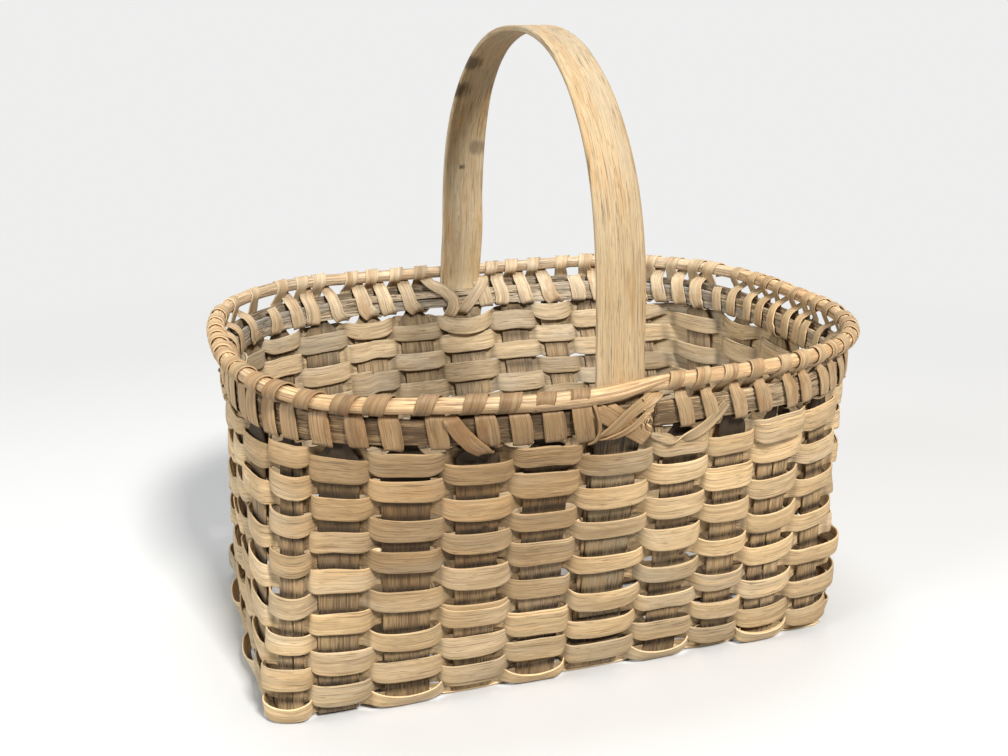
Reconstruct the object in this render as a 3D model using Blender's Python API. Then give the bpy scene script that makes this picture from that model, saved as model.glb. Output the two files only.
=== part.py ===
"""Splint market basket: a plain weave of flat oak splints on a rectangular base, with an oval rim.

Flat stakes cross under the basket, turn up and become its uprights. Rows of narrow splint weave
in front of one upright and behind the next. Two bands hold the tops of the uprights between them,
a round hoop lies above the bands, and a splint lashing winds a figure of eight round hoop and bands.
The handle is one bent splint whose ends run down the middle uprights.

Axes: X along the basket, Y from front to back, Z up. The origin is on the floor, under the middle.
"""
import math

import bmesh
import bpy
import numpy as np

MM = 0.001

# Overall shape: a rectangular foot, an oval mouth and straight walls between them
FOOT_LENGTH = 363 * MM
FOOT_WIDTH = 210 * MM
FOOT_POWER = 16.0
FOOT_SHIFT_X = -7 * MM
MOUTH_LENGTH = 373 * MM
MOUTH_WIDTH = 307 * MM
MOUTH_POWER = 2.85
BODY_TOP = 187 * MM

# Splint stock
STAKE_THICK = 1.3 * MM
WEAVER_THICK = 1.1 * MM
LASHING_THICK = 0.9 * MM
SEAT_GAP = 0.45 * MM

# Cross stakes run from front to back: place at the foot, place round the mouth, width
CROSS_FOOT_X = [v * MM for v in (-177, -150, -110, -71, -32, 7, 49, 87, 118, 153)]
CROSS_MOUTH_ARC = [v * MM for v in (-180, -150, -115, -77, -41, -2, 37, 67, 100, 138)]
CROSS_WIDTH = [v * MM for v in (15, 23, 26, 23, 24, 27, 21, 18, 22, 16)]
# Long stakes run from end to end
LONG_FOOT_Y = [v * MM for v in (-76, -38, 0, 38, 76)]
LONG_RIGHT_ARC = [v * MM for v in (188, 236, 284, 332, 380)]
LONG_LEFT_ARC = [v * MM for v in (216, 252, 287, 322, 357)]
LONG_WIDTH = 23 * MM
# Narrow strips that close the base along its front and back edges
EDGE_STRIP_Y = 98.8 * MM
EDGE_STRIP_WIDTH = 10 * MM
EDGE_STRIP_ENDS = (-136 * MM, 172 * MM)
EDGE_STRIP_FIRST = 2
TONGUE_SHARE = 0.62
TONGUE_LIMIT = 15 * MM
TAPER_FROM = 160 * MM
TAPER_TO = 168.4 * MM
TONGUE_TOP = 186.3 * MM
# A stake stays level this far past the edge of a stake that it crosses
CROSSING_MARGIN = 1.5 * MM
# Heights of the points up a stake that carries the handle's end, and half way up the wall
HANDLE_STAKE_LEVELS = [v * MM for v in (30, 80, 130)]
MID_WALL_Z = 90 * MM

# Weaving
ROW_COUNT = 15
ROW_PITCH = 11.05 * MM
ROW_FOOT = 3.4 * MM
WEAVER_WIDTH = 10.5 * MM
LAP_UPRIGHTS = 2
CORNER_BULGE = 1.2 * MM
# Weavers and bands lie flat over an upright and this far past its edges
FACE_MARGIN = 1.0 * MM

# Rim
BAND_THICK = 3.0 * MM
BAND_GAP = 0.7 * MM
OUTER_BAND_LOW = 172.0 * MM
OUTER_BAND_TOP = 187.0 * MM
INNER_BAND_LOW = 171.0 * MM
INNER_BAND_TOP = 184.0 * MM
BAND_BUTT_GAP = 1.0 * MM
HOOP_LENGTH = 386 * MM
HOOP_WIDTH = 316 * MM
HOOP_Z = 198 * MM
HOOP_RADIUS = 4.25 * MM
HOOP_TIP_RADIUS = 1.2 * MM
HOOP_SEGMENTS = 58
SCARF_HALF = 21 * MM

# Handle
HANDLE_THICK = 3.2 * MM
HANDLE_TAIL_THICK = 1.3 * MM
HANDLE_WIDTH = 29 * MM
HANDLE_TOP_WIDTH = 21.5 * MM
HANDLE_TAIL_WIDTH = 22 * MM
HANDLE_TAIL_LOW = 44 * MM
# Heights of the points up a tail, and where the full thickness starts
HANDLE_TAIL_LEVELS = [HANDLE_TAIL_LOW, 85 * MM, 125 * MM, 158 * MM]
HANDLE_FULL_LOW = 167.5 * MM
HANDLE_EDGE = 0.5 * MM
HANDLE_SPRING_Z = 231.5 * MM
HANDLE_APEX_Z = 374 * MM
HANDLE_HALF_SPAN = 147.8 * MM
HANDLE_POWER = 2.25
HANDLE_SEGMENTS = 34

# Lashing: widths, clearances and the room kept free beside the handle
LASHING_WIDTH = 8.2 * MM
LASHING_TURNS_RIGHT = 26
LASHING_TURNS_LEFT = 22
LASHING_START = 31 * MM
LASHING_OUT = 5.55 * MM
LASHING_IN = -5.2 * MM
LASHING_UNDER_Z = 170.0 * MM
LASHING_OUTER_TOP_Z = 187.6 * MM
LASHING_INNER_TOP_Z = 187.2 * MM
LASHING_MIN_STEP = 10.5 * MM
LASHING_SIDE_ROOM = 0.6 * MM
# Clearance of the wraps on the hoop
WRAP_GAP = 0.6 * MM
HOOP_WRAP_FROM = math.radians(-63)
HOOP_WRAP_TO = math.radians(211)
HOOP_WRAP_STEPS = 5

# Cross ties in front of the handle: reach to each side, width, heights of the two ends, and the
# distances from the wall's middle of the first and the second layer, outside and inside
TIE_REACH = 21 * MM
TIE_WIDTH = 8 * MM
TIE_UNDER_Z = 170.0 * MM
TIE_OVER_Z = 187.9 * MM
TIE_START_Z = 176 * MM
TIE_END_Z = 179 * MM
TIE_OUT = (6.5 * MM, 7.9 * MM)
TIE_IN = (-6.2 * MM, -7.6 * MM)

FRONT_HANDLE_UPRIGHT = 5
BACK_HANDLE_UPRIGHT = 19
FIRST_RIGHT_UPRIGHT = 10
LAST_BACK_UPRIGHT = 24
CORNER_AFTER = (9, 14, 24, 29)
# A stake's face turns by at most this much between two of its points
MOST_TURN = math.radians(3.2)
FOOT_LIFT = 0.15 * MM

# Plain finishes: colour and roughness
FINISHES = {
    "stake": ((0.24, 0.17, 0.10), 0.85),
    "weaver": ((0.53, 0.36, 0.20), 0.75),
    "rim_band": ((0.33, 0.25, 0.15), 0.85),
    "hoop": ((0.62, 0.44, 0.26), 0.7),
    "lashing": ((0.46, 0.29, 0.14), 0.7),
    "handle": ((0.62, 0.42, 0.22), 0.65),
}


def clear_scene():
    """Remove whatever the open scene holds."""
    for thing in list(bpy.data.objects):
        bpy.data.objects.remove(thing, do_unlink=True)


def finish(slot):
    """Return the material of a slot, made on first use."""
    if slot in bpy.data.materials:
        return bpy.data.materials[slot]
    colour, roughness = FINISHES[slot]
    material = bpy.data.materials.new(slot)
    material.use_nodes = True
    shader = material.node_tree.nodes["Principled BSDF"]
    shader.inputs["Base Color"].default_value = (*colour, 1.0)
    shader.inputs["Roughness"].default_value = roughness
    shader.inputs["Metallic"].default_value = 0.0
    return material


class Oval:
    """A superellipse |x/a|^n + |y/b|^n = 1, measured along its own length from the middle of the front.

    Arc length grows to the right along the front, then round the right end, the back and the left end.
    """

    def __init__(self, length, width, power, shift_x=0.0):
        angle = -math.pi / 2 + np.linspace(0, 2 * math.pi, 2881)
        cosine, sine = np.cos(angle), np.sin(angle)
        self.x = shift_x + length / 2 * np.sign(cosine) * np.abs(cosine) ** (2 / power)
        self.y = width / 2 * np.sign(sine) * np.abs(sine) ** (2 / power)
        step = np.hypot(np.diff(self.x), np.diff(self.y))
        self.arc = np.concatenate([[0.0], np.cumsum(step)])
        self.perimeter = self.arc[-1]

    def at(self, arc):
        """Point or points at an arc length, which may run past either end."""
        wrapped = np.mod(arc, self.perimeter)
        return np.stack([np.interp(wrapped, self.arc, self.x), np.interp(wrapped, self.arc, self.y)], -1)

    def arc_at_x(self, x, back):
        """Arc length where the front side, or the back side, reaches x."""
        side = self.y > 0 if back else self.y < 0
        order = np.argsort(self.x[side])
        unwrapped = self.arc[side] if back else (self.arc[side] + self.perimeter / 2) % self.perimeter
        found = np.interp(x, self.x[side][order], unwrapped[order])
        return found if back else found - self.perimeter / 2

    def arc_at_y(self, y, left):
        """Arc length where the right end, or the left end, reaches y."""
        middle = self.x.min() / 2 + self.x.max() / 2
        side = self.x < middle if left else self.x > middle
        order = np.argsort(self.y[side])
        return np.interp(y, self.y[side][order], self.arc[side][order])


FOOT = Oval(FOOT_LENGTH, FOOT_WIDTH, FOOT_POWER, FOOT_SHIFT_X)
MOUTH = Oval(MOUTH_LENGTH, MOUTH_WIDTH, MOUTH_POWER)
HOOP = Oval(HOOP_LENGTH, HOOP_WIDTH, MOUTH_POWER)


def unit(vectors):
    """Vectors scaled to length one."""
    return vectors / np.linalg.norm(vectors, axis=-1, keepdims=True)


class WallLine:
    """A straight line up the wall, from a point of the foot to a point of the mouth."""

    def __init__(self, foot, head):
        self.foot = foot
        self.head = head

    @classmethod
    def at_arcs(cls, foot_arc, mouth_arc):
        """The line between two places given by their arc lengths."""
        return cls(np.append(FOOT.at(foot_arc), 0.0), np.append(MOUTH.at(mouth_arc), BODY_TOP))

    def at(self, z):
        """Point at a height, or points at an array of heights."""
        share = np.asarray(z, float)[..., None] / BODY_TOP
        return self.foot + (self.head - self.foot) * share


class Upright:
    """The part of a stake that stands in the wall, between two wall lines."""

    def __init__(self, foot_arc, mouth_arc, width, handle=False):
        self.width = width
        self.handle = handle
        self.mouth_arc = mouth_arc
        self.left = WallLine.at_arcs(foot_arc - width / 2, mouth_arc - width / 2)
        self.right = WallLine.at_arcs(foot_arc + width / 2, mouth_arc + width / 2)
        self.foot_arc = foot_arc
        # A handle's end lies on the outside of its stake, so the weavers pass both
        pile = STAKE_THICK + SEAT_GAP + HANDLE_TAIL_THICK if handle else STAKE_THICK
        self.pass_offset = pile / 2 + SEAT_GAP + WEAVER_THICK / 2
        self.rim_width = HANDLE_WIDTH if handle else min(TONGUE_SHARE * width, TONGUE_LIMIT)

    def edges(self, z, width=None, grow=0.0):
        """Left and right edge at a height, at the stake's own width or another, each moved out by grow."""
        left, right = self.left.at(z), self.right.at(z)
        centre, across = (left + right) / 2, unit(right - left)
        half = np.linalg.norm(right - left, axis=-1, keepdims=True) / 2 if width is None else width / 2
        return centre - across * (half + grow), centre + across * (half + grow)

    def normal(self, z):
        """Direction straight out of the wall at a height."""
        left, right = self.left.at(z), self.right.at(z)
        up = unit(self.left.head + self.right.head - self.left.foot - self.right.foot)
        return unit(np.cross(right - left, up))

    def twist(self):
        """Angle between the stake's face at its foot and at its head."""
        turn = np.dot(self.normal(0.0), self.normal(BODY_TOP))
        return math.acos(min(1.0, turn))


def build_uprights():
    """The thirty uprights, in order of arc length from the left of the front, with their corner lines."""
    uprights = []
    for j, foot_x in enumerate(CROSS_FOOT_X):
        arc = FOOT.arc_at_x(foot_x, back=False)
        uprights.append(Upright(arc, CROSS_MOUTH_ARC[j], CROSS_WIDTH[j], j == FRONT_HANDLE_UPRIGHT))
    for i, foot_y in enumerate(LONG_FOOT_Y):
        arc = FOOT.arc_at_y(foot_y, left=False)
        uprights.append(Upright(arc, LONG_RIGHT_ARC[i], LONG_WIDTH))
    for j in reversed(range(len(CROSS_FOOT_X))):
        arc = FOOT.arc_at_x(CROSS_FOOT_X[j], back=True)
        mouth_arc = MOUTH.perimeter / 2 - CROSS_MOUTH_ARC[j]
        uprights.append(Upright(arc, mouth_arc, CROSS_WIDTH[j], j == FRONT_HANDLE_UPRIGHT))
    for i in reversed(range(len(LONG_FOOT_Y))):
        arc = FOOT.arc_at_y(LONG_FOOT_Y[i], left=True)
        mouth_arc = MOUTH.perimeter - LONG_LEFT_ARC[i]
        uprights.append(Upright(arc, mouth_arc, LONG_WIDTH))
    return uprights


UPRIGHTS = build_uprights()
COUNT = len(UPRIGHTS)


def between(k):
    """The wall line half way from upright k to the next one."""
    here, after = UPRIGHTS[k], UPRIGHTS[(k + 1) % COUNT]
    foot_step = (after.foot_arc - here.foot_arc) % FOOT.perimeter
    mouth_step = (after.mouth_arc - here.mouth_arc) % MOUTH.perimeter
    return WallLine.at_arcs(here.foot_arc + foot_step / 2, here.mouth_arc + mouth_step / 2)


def line_normal(k, z):
    """Direction out of the wall at the line between upright k and the next one."""
    return unit(UPRIGHTS[k].normal(z) + UPRIGHTS[(k + 1) % COUNT].normal(z))


def add_object(name, data, slot):
    """Put a mesh or a curve into the scene with its finish."""
    data.materials.append(finish(slot))
    piece = bpy.data.objects.new(name, data)
    bpy.context.scene.collection.objects.link(piece)
    return piece


def strip(name, left, right, thickness, slot, weights=None, thin_share=1.0):
    """A flat splint: an edge extruded along its path, then given its thickness.

    left and right are the two long edges as arrays of points. weights, where given, run from 0 at
    a thin place, where the thickness is thin_share of the full one, to 1.
    """
    shape = bmesh.new()
    pair = [shape.verts.new(left[0]), shape.verts.new(right[0])]
    edge = shape.edges.new(pair)
    for low, high in zip(left[1:], right[1:]):
        grown = bmesh.ops.extrude_edge_only(shape, edges=[edge])["geom"]
        edge = next(g for g in grown if isinstance(g, bmesh.types.BMEdge))
        fresh = [g for g in grown if isinstance(g, bmesh.types.BMVert)]
        # The new point joined to the old left point is the new left point
        if any(pair[0] in (e.verts[0], e.verts[1]) for e in fresh[1].link_edges if e is not edge):
            fresh.reverse()
        fresh[0].co, fresh[1].co = low, high
        pair = fresh
    shape.verts.index_update()
    mesh = bpy.data.meshes.new(name)
    shape.to_mesh(mesh)
    shape.free()
    piece = add_object(name, mesh, slot)
    solid = piece.modifiers.new("thickness", "SOLIDIFY")
    solid.thickness = thickness
    solid.offset = 0.0
    solid.use_even_offset = True
    solid.use_quality_normals = True
    if weights is not None:
        group = piece.vertex_groups.new(name="full_thickness")
        for place, weight in enumerate(np.repeat(weights, 2)):
            group.add([place], float(weight), "REPLACE")
        solid.vertex_group = group.name
        solid.thickness_vertex_group = thin_share
    return piece


def base_run(stations, half, over_first):
    """Distances along the base and heights of a stake that passes over and under its crossers.

    stations are the crossers' middles, in order, and half is half their width plus a little.
    """
    middle = STAKE_THICK + SEAT_GAP / 2
    rise = (STAKE_THICK + SEAT_GAP) / 2
    along, height = [], []
    for place, station in enumerate(stations):
        over = (place % 2 == 0) == over_first
        along += [station - half[place], station + half[place]]
        height += [middle + rise if over else middle - rise] * 2
    return np.array(along), np.array(height)


def upright_levels(upright):
    """Heights of the points up a stake: more of them where its face turns."""
    if upright.handle:
        return np.array([*HANDLE_STAKE_LEVELS, TAPER_FROM])
    per_row = max(upright.twist() / ROW_COUNT, 1e-6)
    skip = int(np.clip(MOST_TURN // per_row, 1, 5))
    levels = [ROW_FOOT + ROW_PITCH * row for row in range(0, ROW_COUNT - 1, skip)]
    return np.array(levels + [TAPER_FROM])


def upright_strip(upright, foot_height):
    """Left and right edges of an upright from its foot to its top."""
    levels = np.concatenate([[foot_height + FOOT_LIFT], upright_levels(upright)])
    left, right = upright.edges(levels)
    if upright.handle:
        inward = upright.normal(MID_WALL_Z) * (SEAT_GAP + HANDLE_TAIL_THICK) / 2
        left[1:], right[1:] = left[1:] - inward, right[1:] - inward
        return left, right
    tongue_left, tongue_right = upright.edges(np.array([TAPER_TO, TONGUE_TOP]), upright.rim_width)
    return np.concatenate([left, tongue_left]), np.concatenate([right, tongue_right])


def cross_stake(j):
    """One stake from the front rim, under the basket, to the back rim."""
    crossed = [-EDGE_STRIP_Y, *LONG_FOOT_Y, EDGE_STRIP_Y]
    widths = [EDGE_STRIP_WIDTH] + [LONG_WIDTH] * len(LONG_FOOT_Y) + [EDGE_STRIP_WIDTH]
    half = [width / 2 + CROSSING_MARGIN for width in widths]
    along, height = base_run(crossed, half, over_first=j % 2 == 1)
    # The stake turns up right beside the edge strips, so its folds take the place of the outermost points
    along, height = along[1:-1], height[1:-1]
    front_left, front_right = upright_strip(UPRIGHTS[j], height[0])
    back_left, back_right = upright_strip(UPRIGHTS[LAST_BACK_UPRIGHT - j], height[-1])
    x_left, x_right = front_left[0, 0], front_right[0, 0]
    under_left = np.stack([np.full_like(along, x_left), along, height], -1)
    under_right = np.stack([np.full_like(along, x_right), along, height], -1)
    left = np.concatenate([front_left[::-1], under_left, back_right])
    right = np.concatenate([front_right[::-1], under_right, back_left])
    return strip(f"cross_stake_{j + 1:02d}", left, right, STAKE_THICK, "stake")


def long_stake(i):
    """One stake from the left rim, under the basket, to the right rim."""
    half = [width / 2 + CROSSING_MARGIN for width in CROSS_WIDTH]
    along, height = base_run(CROSS_FOOT_X, half, over_first=i % 2 == 1)
    left_front, left_back = upright_strip(UPRIGHTS[COUNT - 1 - i], height[0])[::-1]
    right_front, right_back = upright_strip(UPRIGHTS[FIRST_RIGHT_UPRIGHT + i], height[-1])
    under_front = np.stack([along, np.full_like(along, right_front[0, 1]), height], -1)
    under_back = np.stack([along, np.full_like(along, right_back[0, 1]), height], -1)
    front = np.concatenate([left_front[::-1], under_front, right_front])
    back = np.concatenate([left_back[::-1], under_back, right_back])
    return strip(f"long_stake_{i + 1}", front, back, STAKE_THICK, "stake")


def edge_strip(name, y):
    """One narrow strip along an edge of the base, from cross stake 3 to the right end: over, under."""
    half = [width / 2 + CROSSING_MARGIN for width in CROSS_WIDTH[EDGE_STRIP_FIRST:]]
    along, height = base_run(CROSS_FOOT_X[EDGE_STRIP_FIRST:], half, over_first=True)
    along[0], along[-1] = EDGE_STRIP_ENDS
    front = np.stack([along, np.full_like(along, y - EDGE_STRIP_WIDTH / 2), height], -1)
    back = np.stack([along, np.full_like(along, y + EDGE_STRIP_WIDTH / 2), height], -1)
    return strip(name, front, back, WEAVER_THICK, "weaver")


def lap_starts(row):
    """Uprights on straight stretches of wall where this row may start behind a stake."""
    stretches = list(range(0, 7)) + list(range(10, 13)) + list(range(15, 22)) + list(range(25, 28))
    return [k for k in stretches if (k - row) % 2 == 0]


def weaver_row(row):
    """One turn of weaver round the basket, its end lapped over its start for two uprights."""
    centre = ROW_FOOT + WEAVER_WIDTH / 2 + (row - 1) * ROW_PITCH
    heights = np.array([centre - WEAVER_WIDTH / 2, centre + WEAVER_WIDTH / 2])
    starts = lap_starts(row)
    start = starts[(row * 5) % len(starts)]
    layer = WEAVER_THICK + SEAT_GAP
    low, high = [], []
    last = COUNT + LAP_UPRIGHTS
    for step in range(last + 1):
        k = (start + step) % COUNT
        upright = UPRIGHTS[k]
        outside = (k + row) % 2 == 1
        offset = upright.pass_offset if outside else -upright.pass_offset
        if step <= LAP_UPRIGHTS and not outside:
            offset -= layer
        if step >= COUNT and outside:
            offset += layer
        out = upright.normal(centre) * offset
        left, right = upright.edges(heights, grow=FACE_MARGIN)
        for side in (left, right):
            low.append(side[0] + out)
            high.append(side[1] + out)
        if k in CORNER_AFTER and step < last:
            corner = between(k).at(heights) + line_normal(k, centre) * CORNER_BULGE
            low.append(corner[0])
            high.append(corner[1])
    return strip(f"weaver_row_{row:02d}", np.array(low), np.array(high), WEAVER_THICK, "weaver")


class Rim:
    """The faceted line of the mouth that the bands and the lashing follow."""

    def __init__(self):
        arcs, lines, normals, handle = [], [], [], []
        for k, upright in enumerate(UPRIGHTS):
            feet = upright.edges(0.0, upright.rim_width, grow=FACE_MARGIN)
            heads = upright.edges(BODY_TOP, upright.rim_width, grow=FACE_MARGIN)
            for side, sign in enumerate((-1, 1)):
                arcs.append(upright.mouth_arc + sign * (upright.rim_width / 2 + FACE_MARGIN))
                lines.append(WallLine(feet[side], heads[side]))
                normals.append(upright.normal(BODY_TOP))
                handle.append(upright.handle)
            after = UPRIGHTS[(k + 1) % COUNT].mouth_arc
            arcs.append(upright.mouth_arc + (after - upright.mouth_arc) % MOUTH.perimeter / 2)
            lines.append(between(k))
            normals.append(line_normal(k, BODY_TOP))
            handle.append(False)
        self.arc = np.array(arcs)
        self.foot = np.array([line.foot for line in lines])
        self.head = np.array([line.head for line in lines])
        self.normals = np.array(normals)
        self.handle = np.array(handle)

    def at(self, arc, z, offset):
        """Points at arc lengths, heights and distances out from the wall's middle surface."""
        arc, z, offset = (np.asarray(v, float) for v in (arc, z, offset))
        share = z[..., None] / BODY_TOP
        wrapped = np.mod(arc - self.arc[0], MOUTH.perimeter)
        knots = np.mod(self.arc - self.arc[0], MOUTH.perimeter)
        knots = np.append(knots, MOUTH.perimeter)

        def follow(values):
            closed = np.concatenate([values, values[:1]])
            return np.stack([np.interp(wrapped, knots, closed[:, axis]) for axis in range(3)], -1)

        foot, head, normal = follow(self.foot), follow(self.head), unit(follow(self.normals))
        return foot + (head - foot) * share + normal * offset[..., None]


RIM = Rim()


def rim_band(name, side, low, top):
    """One flat band that holds the tops of the uprights, its two ends butted beside the handle.

    side is 1 for the band outside the wall and -1 for the one inside it.
    """
    seat = STAKE_THICK / 2 + BAND_GAP + BAND_THICK / 2
    handle_seat = HANDLE_THICK / 2 + BAND_GAP + BAND_THICK / 2
    offset = side * np.where(RIM.handle, handle_seat, seat)
    # The knots start from the right of the front handle, where the band's two ends meet
    order = np.roll(np.arange(len(RIM.arc)), -(3 * FRONT_HANDLE_UPRIGHT + 2))
    arcs, offsets = RIM.arc[order], offset[order]
    arcs = np.concatenate([[arcs[0] + BAND_BUTT_GAP / 2], arcs[1:], [arcs[0] - BAND_BUTT_GAP / 2]])
    offsets = np.append(offsets, offsets[0])
    low_edge = RIM.at(arcs, np.full_like(arcs, low), offsets)
    top_edge = RIM.at(arcs, np.full_like(arcs, top), offsets)
    return strip(name, low_edge, top_edge, BAND_THICK, "rim_band")


HANDLE_ARC = CROSS_MOUTH_ARC[FRONT_HANDLE_UPRIGHT]
HOOP_ARCS = HANDLE_ARC + np.linspace(-SCARF_HALF, MOUTH.perimeter + SCARF_HALF, HOOP_SEGMENTS + 1)


def hoop_middle(arc):
    """Middle of the hoop rod at arc lengths of the mouth, on the hoop's own facets."""
    share = HOOP.perimeter / MOUTH.perimeter
    knots = HOOP.at(HOOP_ARCS * share)
    flat = [np.interp(arc, HOOP_ARCS, knots[:, axis]) for axis in range(2)]
    return np.stack([flat[0], flat[1], np.full_like(flat[0], HOOP_Z)], -1)


def rim_hoop():
    """The round hoop, a rod whose two tapered ends lie one on the other beside the front handle."""
    middle = hoop_middle(HOOP_ARCS)
    from_start = np.clip((HOOP_ARCS - HOOP_ARCS[0]) / (2 * SCARF_HALF), 0, 1)
    from_end = np.clip((HOOP_ARCS[-1] - HOOP_ARCS) / (2 * SCARF_HALF), 0, 1)
    stack = HOOP_RADIUS + HOOP_TIP_RADIUS + SEAT_GAP
    middle[:, 2] += stack * ((1 - from_end) - (1 - from_start))
    thin = HOOP_TIP_RADIUS / HOOP_RADIUS
    radius = thin + (1 - thin) * np.minimum(from_start, from_end)
    curve = bpy.data.curves.new("rim_hoop", "CURVE")
    curve.dimensions = "3D"
    curve.bevel_depth = HOOP_RADIUS
    curve.bevel_resolution = 2
    curve.use_fill_caps = True
    spline = curve.splines.new("POLY")
    spline.points.add(len(middle) - 1)
    spline.points.foreach_set("co", np.column_stack([middle, np.ones(len(middle))]).ravel())
    spline.points.foreach_set("radius", radius)
    return add_object("rim_hoop", curve, "hoop")


def free_place(nominal, lowest, highest):
    """The arc nearest to nominal, between two limits, where a strap can pass between the uprights."""
    choices = []
    for k in range(COUNT):
        here, after = UPRIGHTS[k], UPRIGHTS[(k + 1) % COUNT]
        start = here.mouth_arc + here.rim_width / 2
        gap = (after.mouth_arc - here.mouth_arc) % MOUTH.perimeter
        end = here.mouth_arc + gap - after.rim_width / 2
        room = LASHING_WIDTH / 2 + LASHING_SIDE_ROOM
        for lap in (0.0, MOUTH.perimeter):
            low, high = max(start + room + lap, lowest), min(end - room + lap, highest)
            if low <= high:
                choices.append(min(max(nominal, low), high))
    return min(choices, key=lambda place: abs(place - nominal))


def under_places(first, last, wanted):
    """Where each turn passes under the bands: near the wanted arc, clear of uprights and neighbours."""
    latest, limit = [], last
    for _ in wanted:
        limit = free_place(limit, first, limit)
        latest.append(limit)
        limit -= LASHING_MIN_STEP
    places, lowest = [], first
    for nominal, limit in zip(wanted, reversed(latest)):
        places.append(free_place(nominal, lowest, limit))
        lowest = places[-1] + LASHING_MIN_STEP
    return places


def lashing_edges(first, last, turns):
    """The figure of eight as two edges, for a length of lashing from one arc length to another.

    Each turn goes over the hoop from outside to inside, crosses out under the hoop, runs down the
    outer band, passes inside under both bands, climbs the inner band and crosses out again.
    """
    pitch = (last - first) / turns
    quarter = pitch / 4
    angles = np.linspace(HOOP_WRAP_FROM, HOOP_WRAP_TO, HOOP_WRAP_STEPS + 1)
    half_step = (angles[1] - angles[0]) / 2
    ring = (HOOP_RADIUS + WRAP_GAP + LASHING_THICK / 2) / math.cos(half_step)
    tops = first + pitch * np.arange(turns) + quarter
    edges = ([], [])
    for top, under in zip(tops, under_places(first, last, tops + 2 * quarter)):
        wrap = top + np.linspace(-quarter, quarter, HOOP_WRAP_STEPS + 1)
        strap = np.array([top + 1.45 * quarter, under, under, top + 2.6 * quarter])
        offset = np.array([LASHING_OUT, LASHING_OUT, LASHING_IN, LASHING_IN])
        z = np.array([LASHING_OUTER_TOP_Z, LASHING_UNDER_Z, LASHING_UNDER_Z, LASHING_INNER_TOP_Z])
        for edge, sign in zip(edges, (-1, 1)):
            arc = wrap + sign * LASHING_WIDTH / 2
            out = RIM.at(arc, np.full_like(arc, BODY_TOP), np.ones_like(arc))
            out = out - RIM.at(arc, np.full_like(arc, BODY_TOP), np.zeros_like(arc))
            out[:, 2] = 0
            ring_points = hoop_middle(arc) + unit(out) * (ring * np.cos(angles))[:, None]
            ring_points[:, 2] += ring * np.sin(angles)
            edge.append(ring_points)
            edge.append(RIM.at(strap + sign * LASHING_WIDTH / 2, z, offset))
    return np.concatenate(edges[0]), np.concatenate(edges[1])


def least_gap(left, right, thickness):
    """Smallest distance between two places of one lashing that are not neighbours along it."""
    along, across = np.linspace(0, 1, 5)[:-1], np.linspace(0, 1, 5)
    rows = []
    for share in along:
        low = left[:-1] + (left[1:] - left[:-1]) * share
        high = right[:-1] + (right[1:] - right[:-1]) * share
        rows.append(low[:, None] + (high - low)[:, None] * across[None, :, None])
    grid = np.stack(rows, 1).reshape(-1, len(across), 3)
    centre = grid[:, len(across) // 2]
    walked = np.concatenate([[0.0], np.cumsum(np.linalg.norm(np.diff(centre, axis=0), axis=1))])
    least = math.inf
    for here in range(len(grid)):
        near = (walked > walked[here] + 14 * MM) & (walked < walked[here] + 160 * MM)
        if near.any():
            others = grid[near].reshape(-1, 3)
            apart = np.linalg.norm(grid[here][:, None] - others[None], axis=-1)
            least = min(least, apart.min())
    return least - thickness


def lashing(name, first, last, turns):
    """One length of the rim lashing, from one side of the handle to the other."""
    left, right = lashing_edges(first, last, turns)
    gap = least_gap(left, right, LASHING_THICK)
    print(f"{name}: {turns} turns, least gap to itself {gap / MM:.2f} mm")
    return strip(name, left, right, LASHING_THICK, "lashing")


def handle_tie(name, middle):
    """The cross tie in front of the handle: one splint that makes an X on the outer band."""
    half = TIE_WIDTH / 2
    under, over = TIE_UNDER_Z, TIE_OVER_Z
    first, second = TIE_OUT
    inner, inner_second = TIE_IN
    lean = math.atan2(over - under, 2 * TIE_REACH)
    # Half widths along the arc and up the wall, where the splint stands upright, rises and falls
    flat = (half, 0.0)
    rising = (half * math.sin(lean), -half * math.cos(lean))
    falling = (-half * math.sin(lean), -half * math.cos(lean))
    waist = (under + over) / 2
    # Each point: arc from the handle's middle, distance out, height and half width
    route = [
        (-TIE_REACH, inner, TIE_START_Z, flat),
        (-TIE_REACH, inner, under, flat),
        (-TIE_REACH, first, under, flat),
        (0.0, first, waist, rising),
        (TIE_REACH, first, over, flat),
        (TIE_REACH, inner, over, flat),
        (TIE_REACH, inner, under, flat),
        (TIE_REACH, second, under, flat),
        (0.0, second, waist, falling),
        (-TIE_REACH, second, over, flat),
        (-TIE_REACH, inner_second, over, flat),
        (-TIE_REACH, inner_second, TIE_END_Z, flat),
    ]
    sides = []
    for sign in (-1, 1):
        arc = np.array([middle + point[0] + sign * point[3][0] for point in route])
        offset = np.array([point[1] for point in route])
        z = np.array([point[2] + sign * point[3][1] for point in route])
        sides.append(RIM.at(arc, z, offset))
    return strip(name, sides[0], sides[1], LASHING_THICK, "lashing")


def handle_side(upright, sign):
    """Middle points of one leg, from the end of its tail up to where the arch springs.

    sign is -1 for the front leg and 1 for the back one. Returns points, widths and thickness weights.
    """
    tail_z = np.array(HANDLE_TAIL_LEVELS)
    rim_z = np.array([HANDLE_FULL_LOW, BODY_TOP])
    out = upright.normal(MID_WALL_Z) * (SEAT_GAP + STAKE_THICK) / 2
    tail_left, tail_right = upright.edges(tail_z)
    tail = (tail_left + tail_right) / 2 + out
    rim_left, rim_right = upright.edges(rim_z)
    rim = (rim_left + rim_right) / 2
    spring = np.array([[0.0, sign * HANDLE_HALF_SPAN, HANDLE_SPRING_Z]])
    points = np.concatenate([tail, rim, spring])
    widths = np.array([HANDLE_TAIL_WIDTH] * len(tail) + [HANDLE_WIDTH] * 3)
    weights = np.array([0.0] * len(tail) + [1.0] * 3)
    return points, widths, weights


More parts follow.
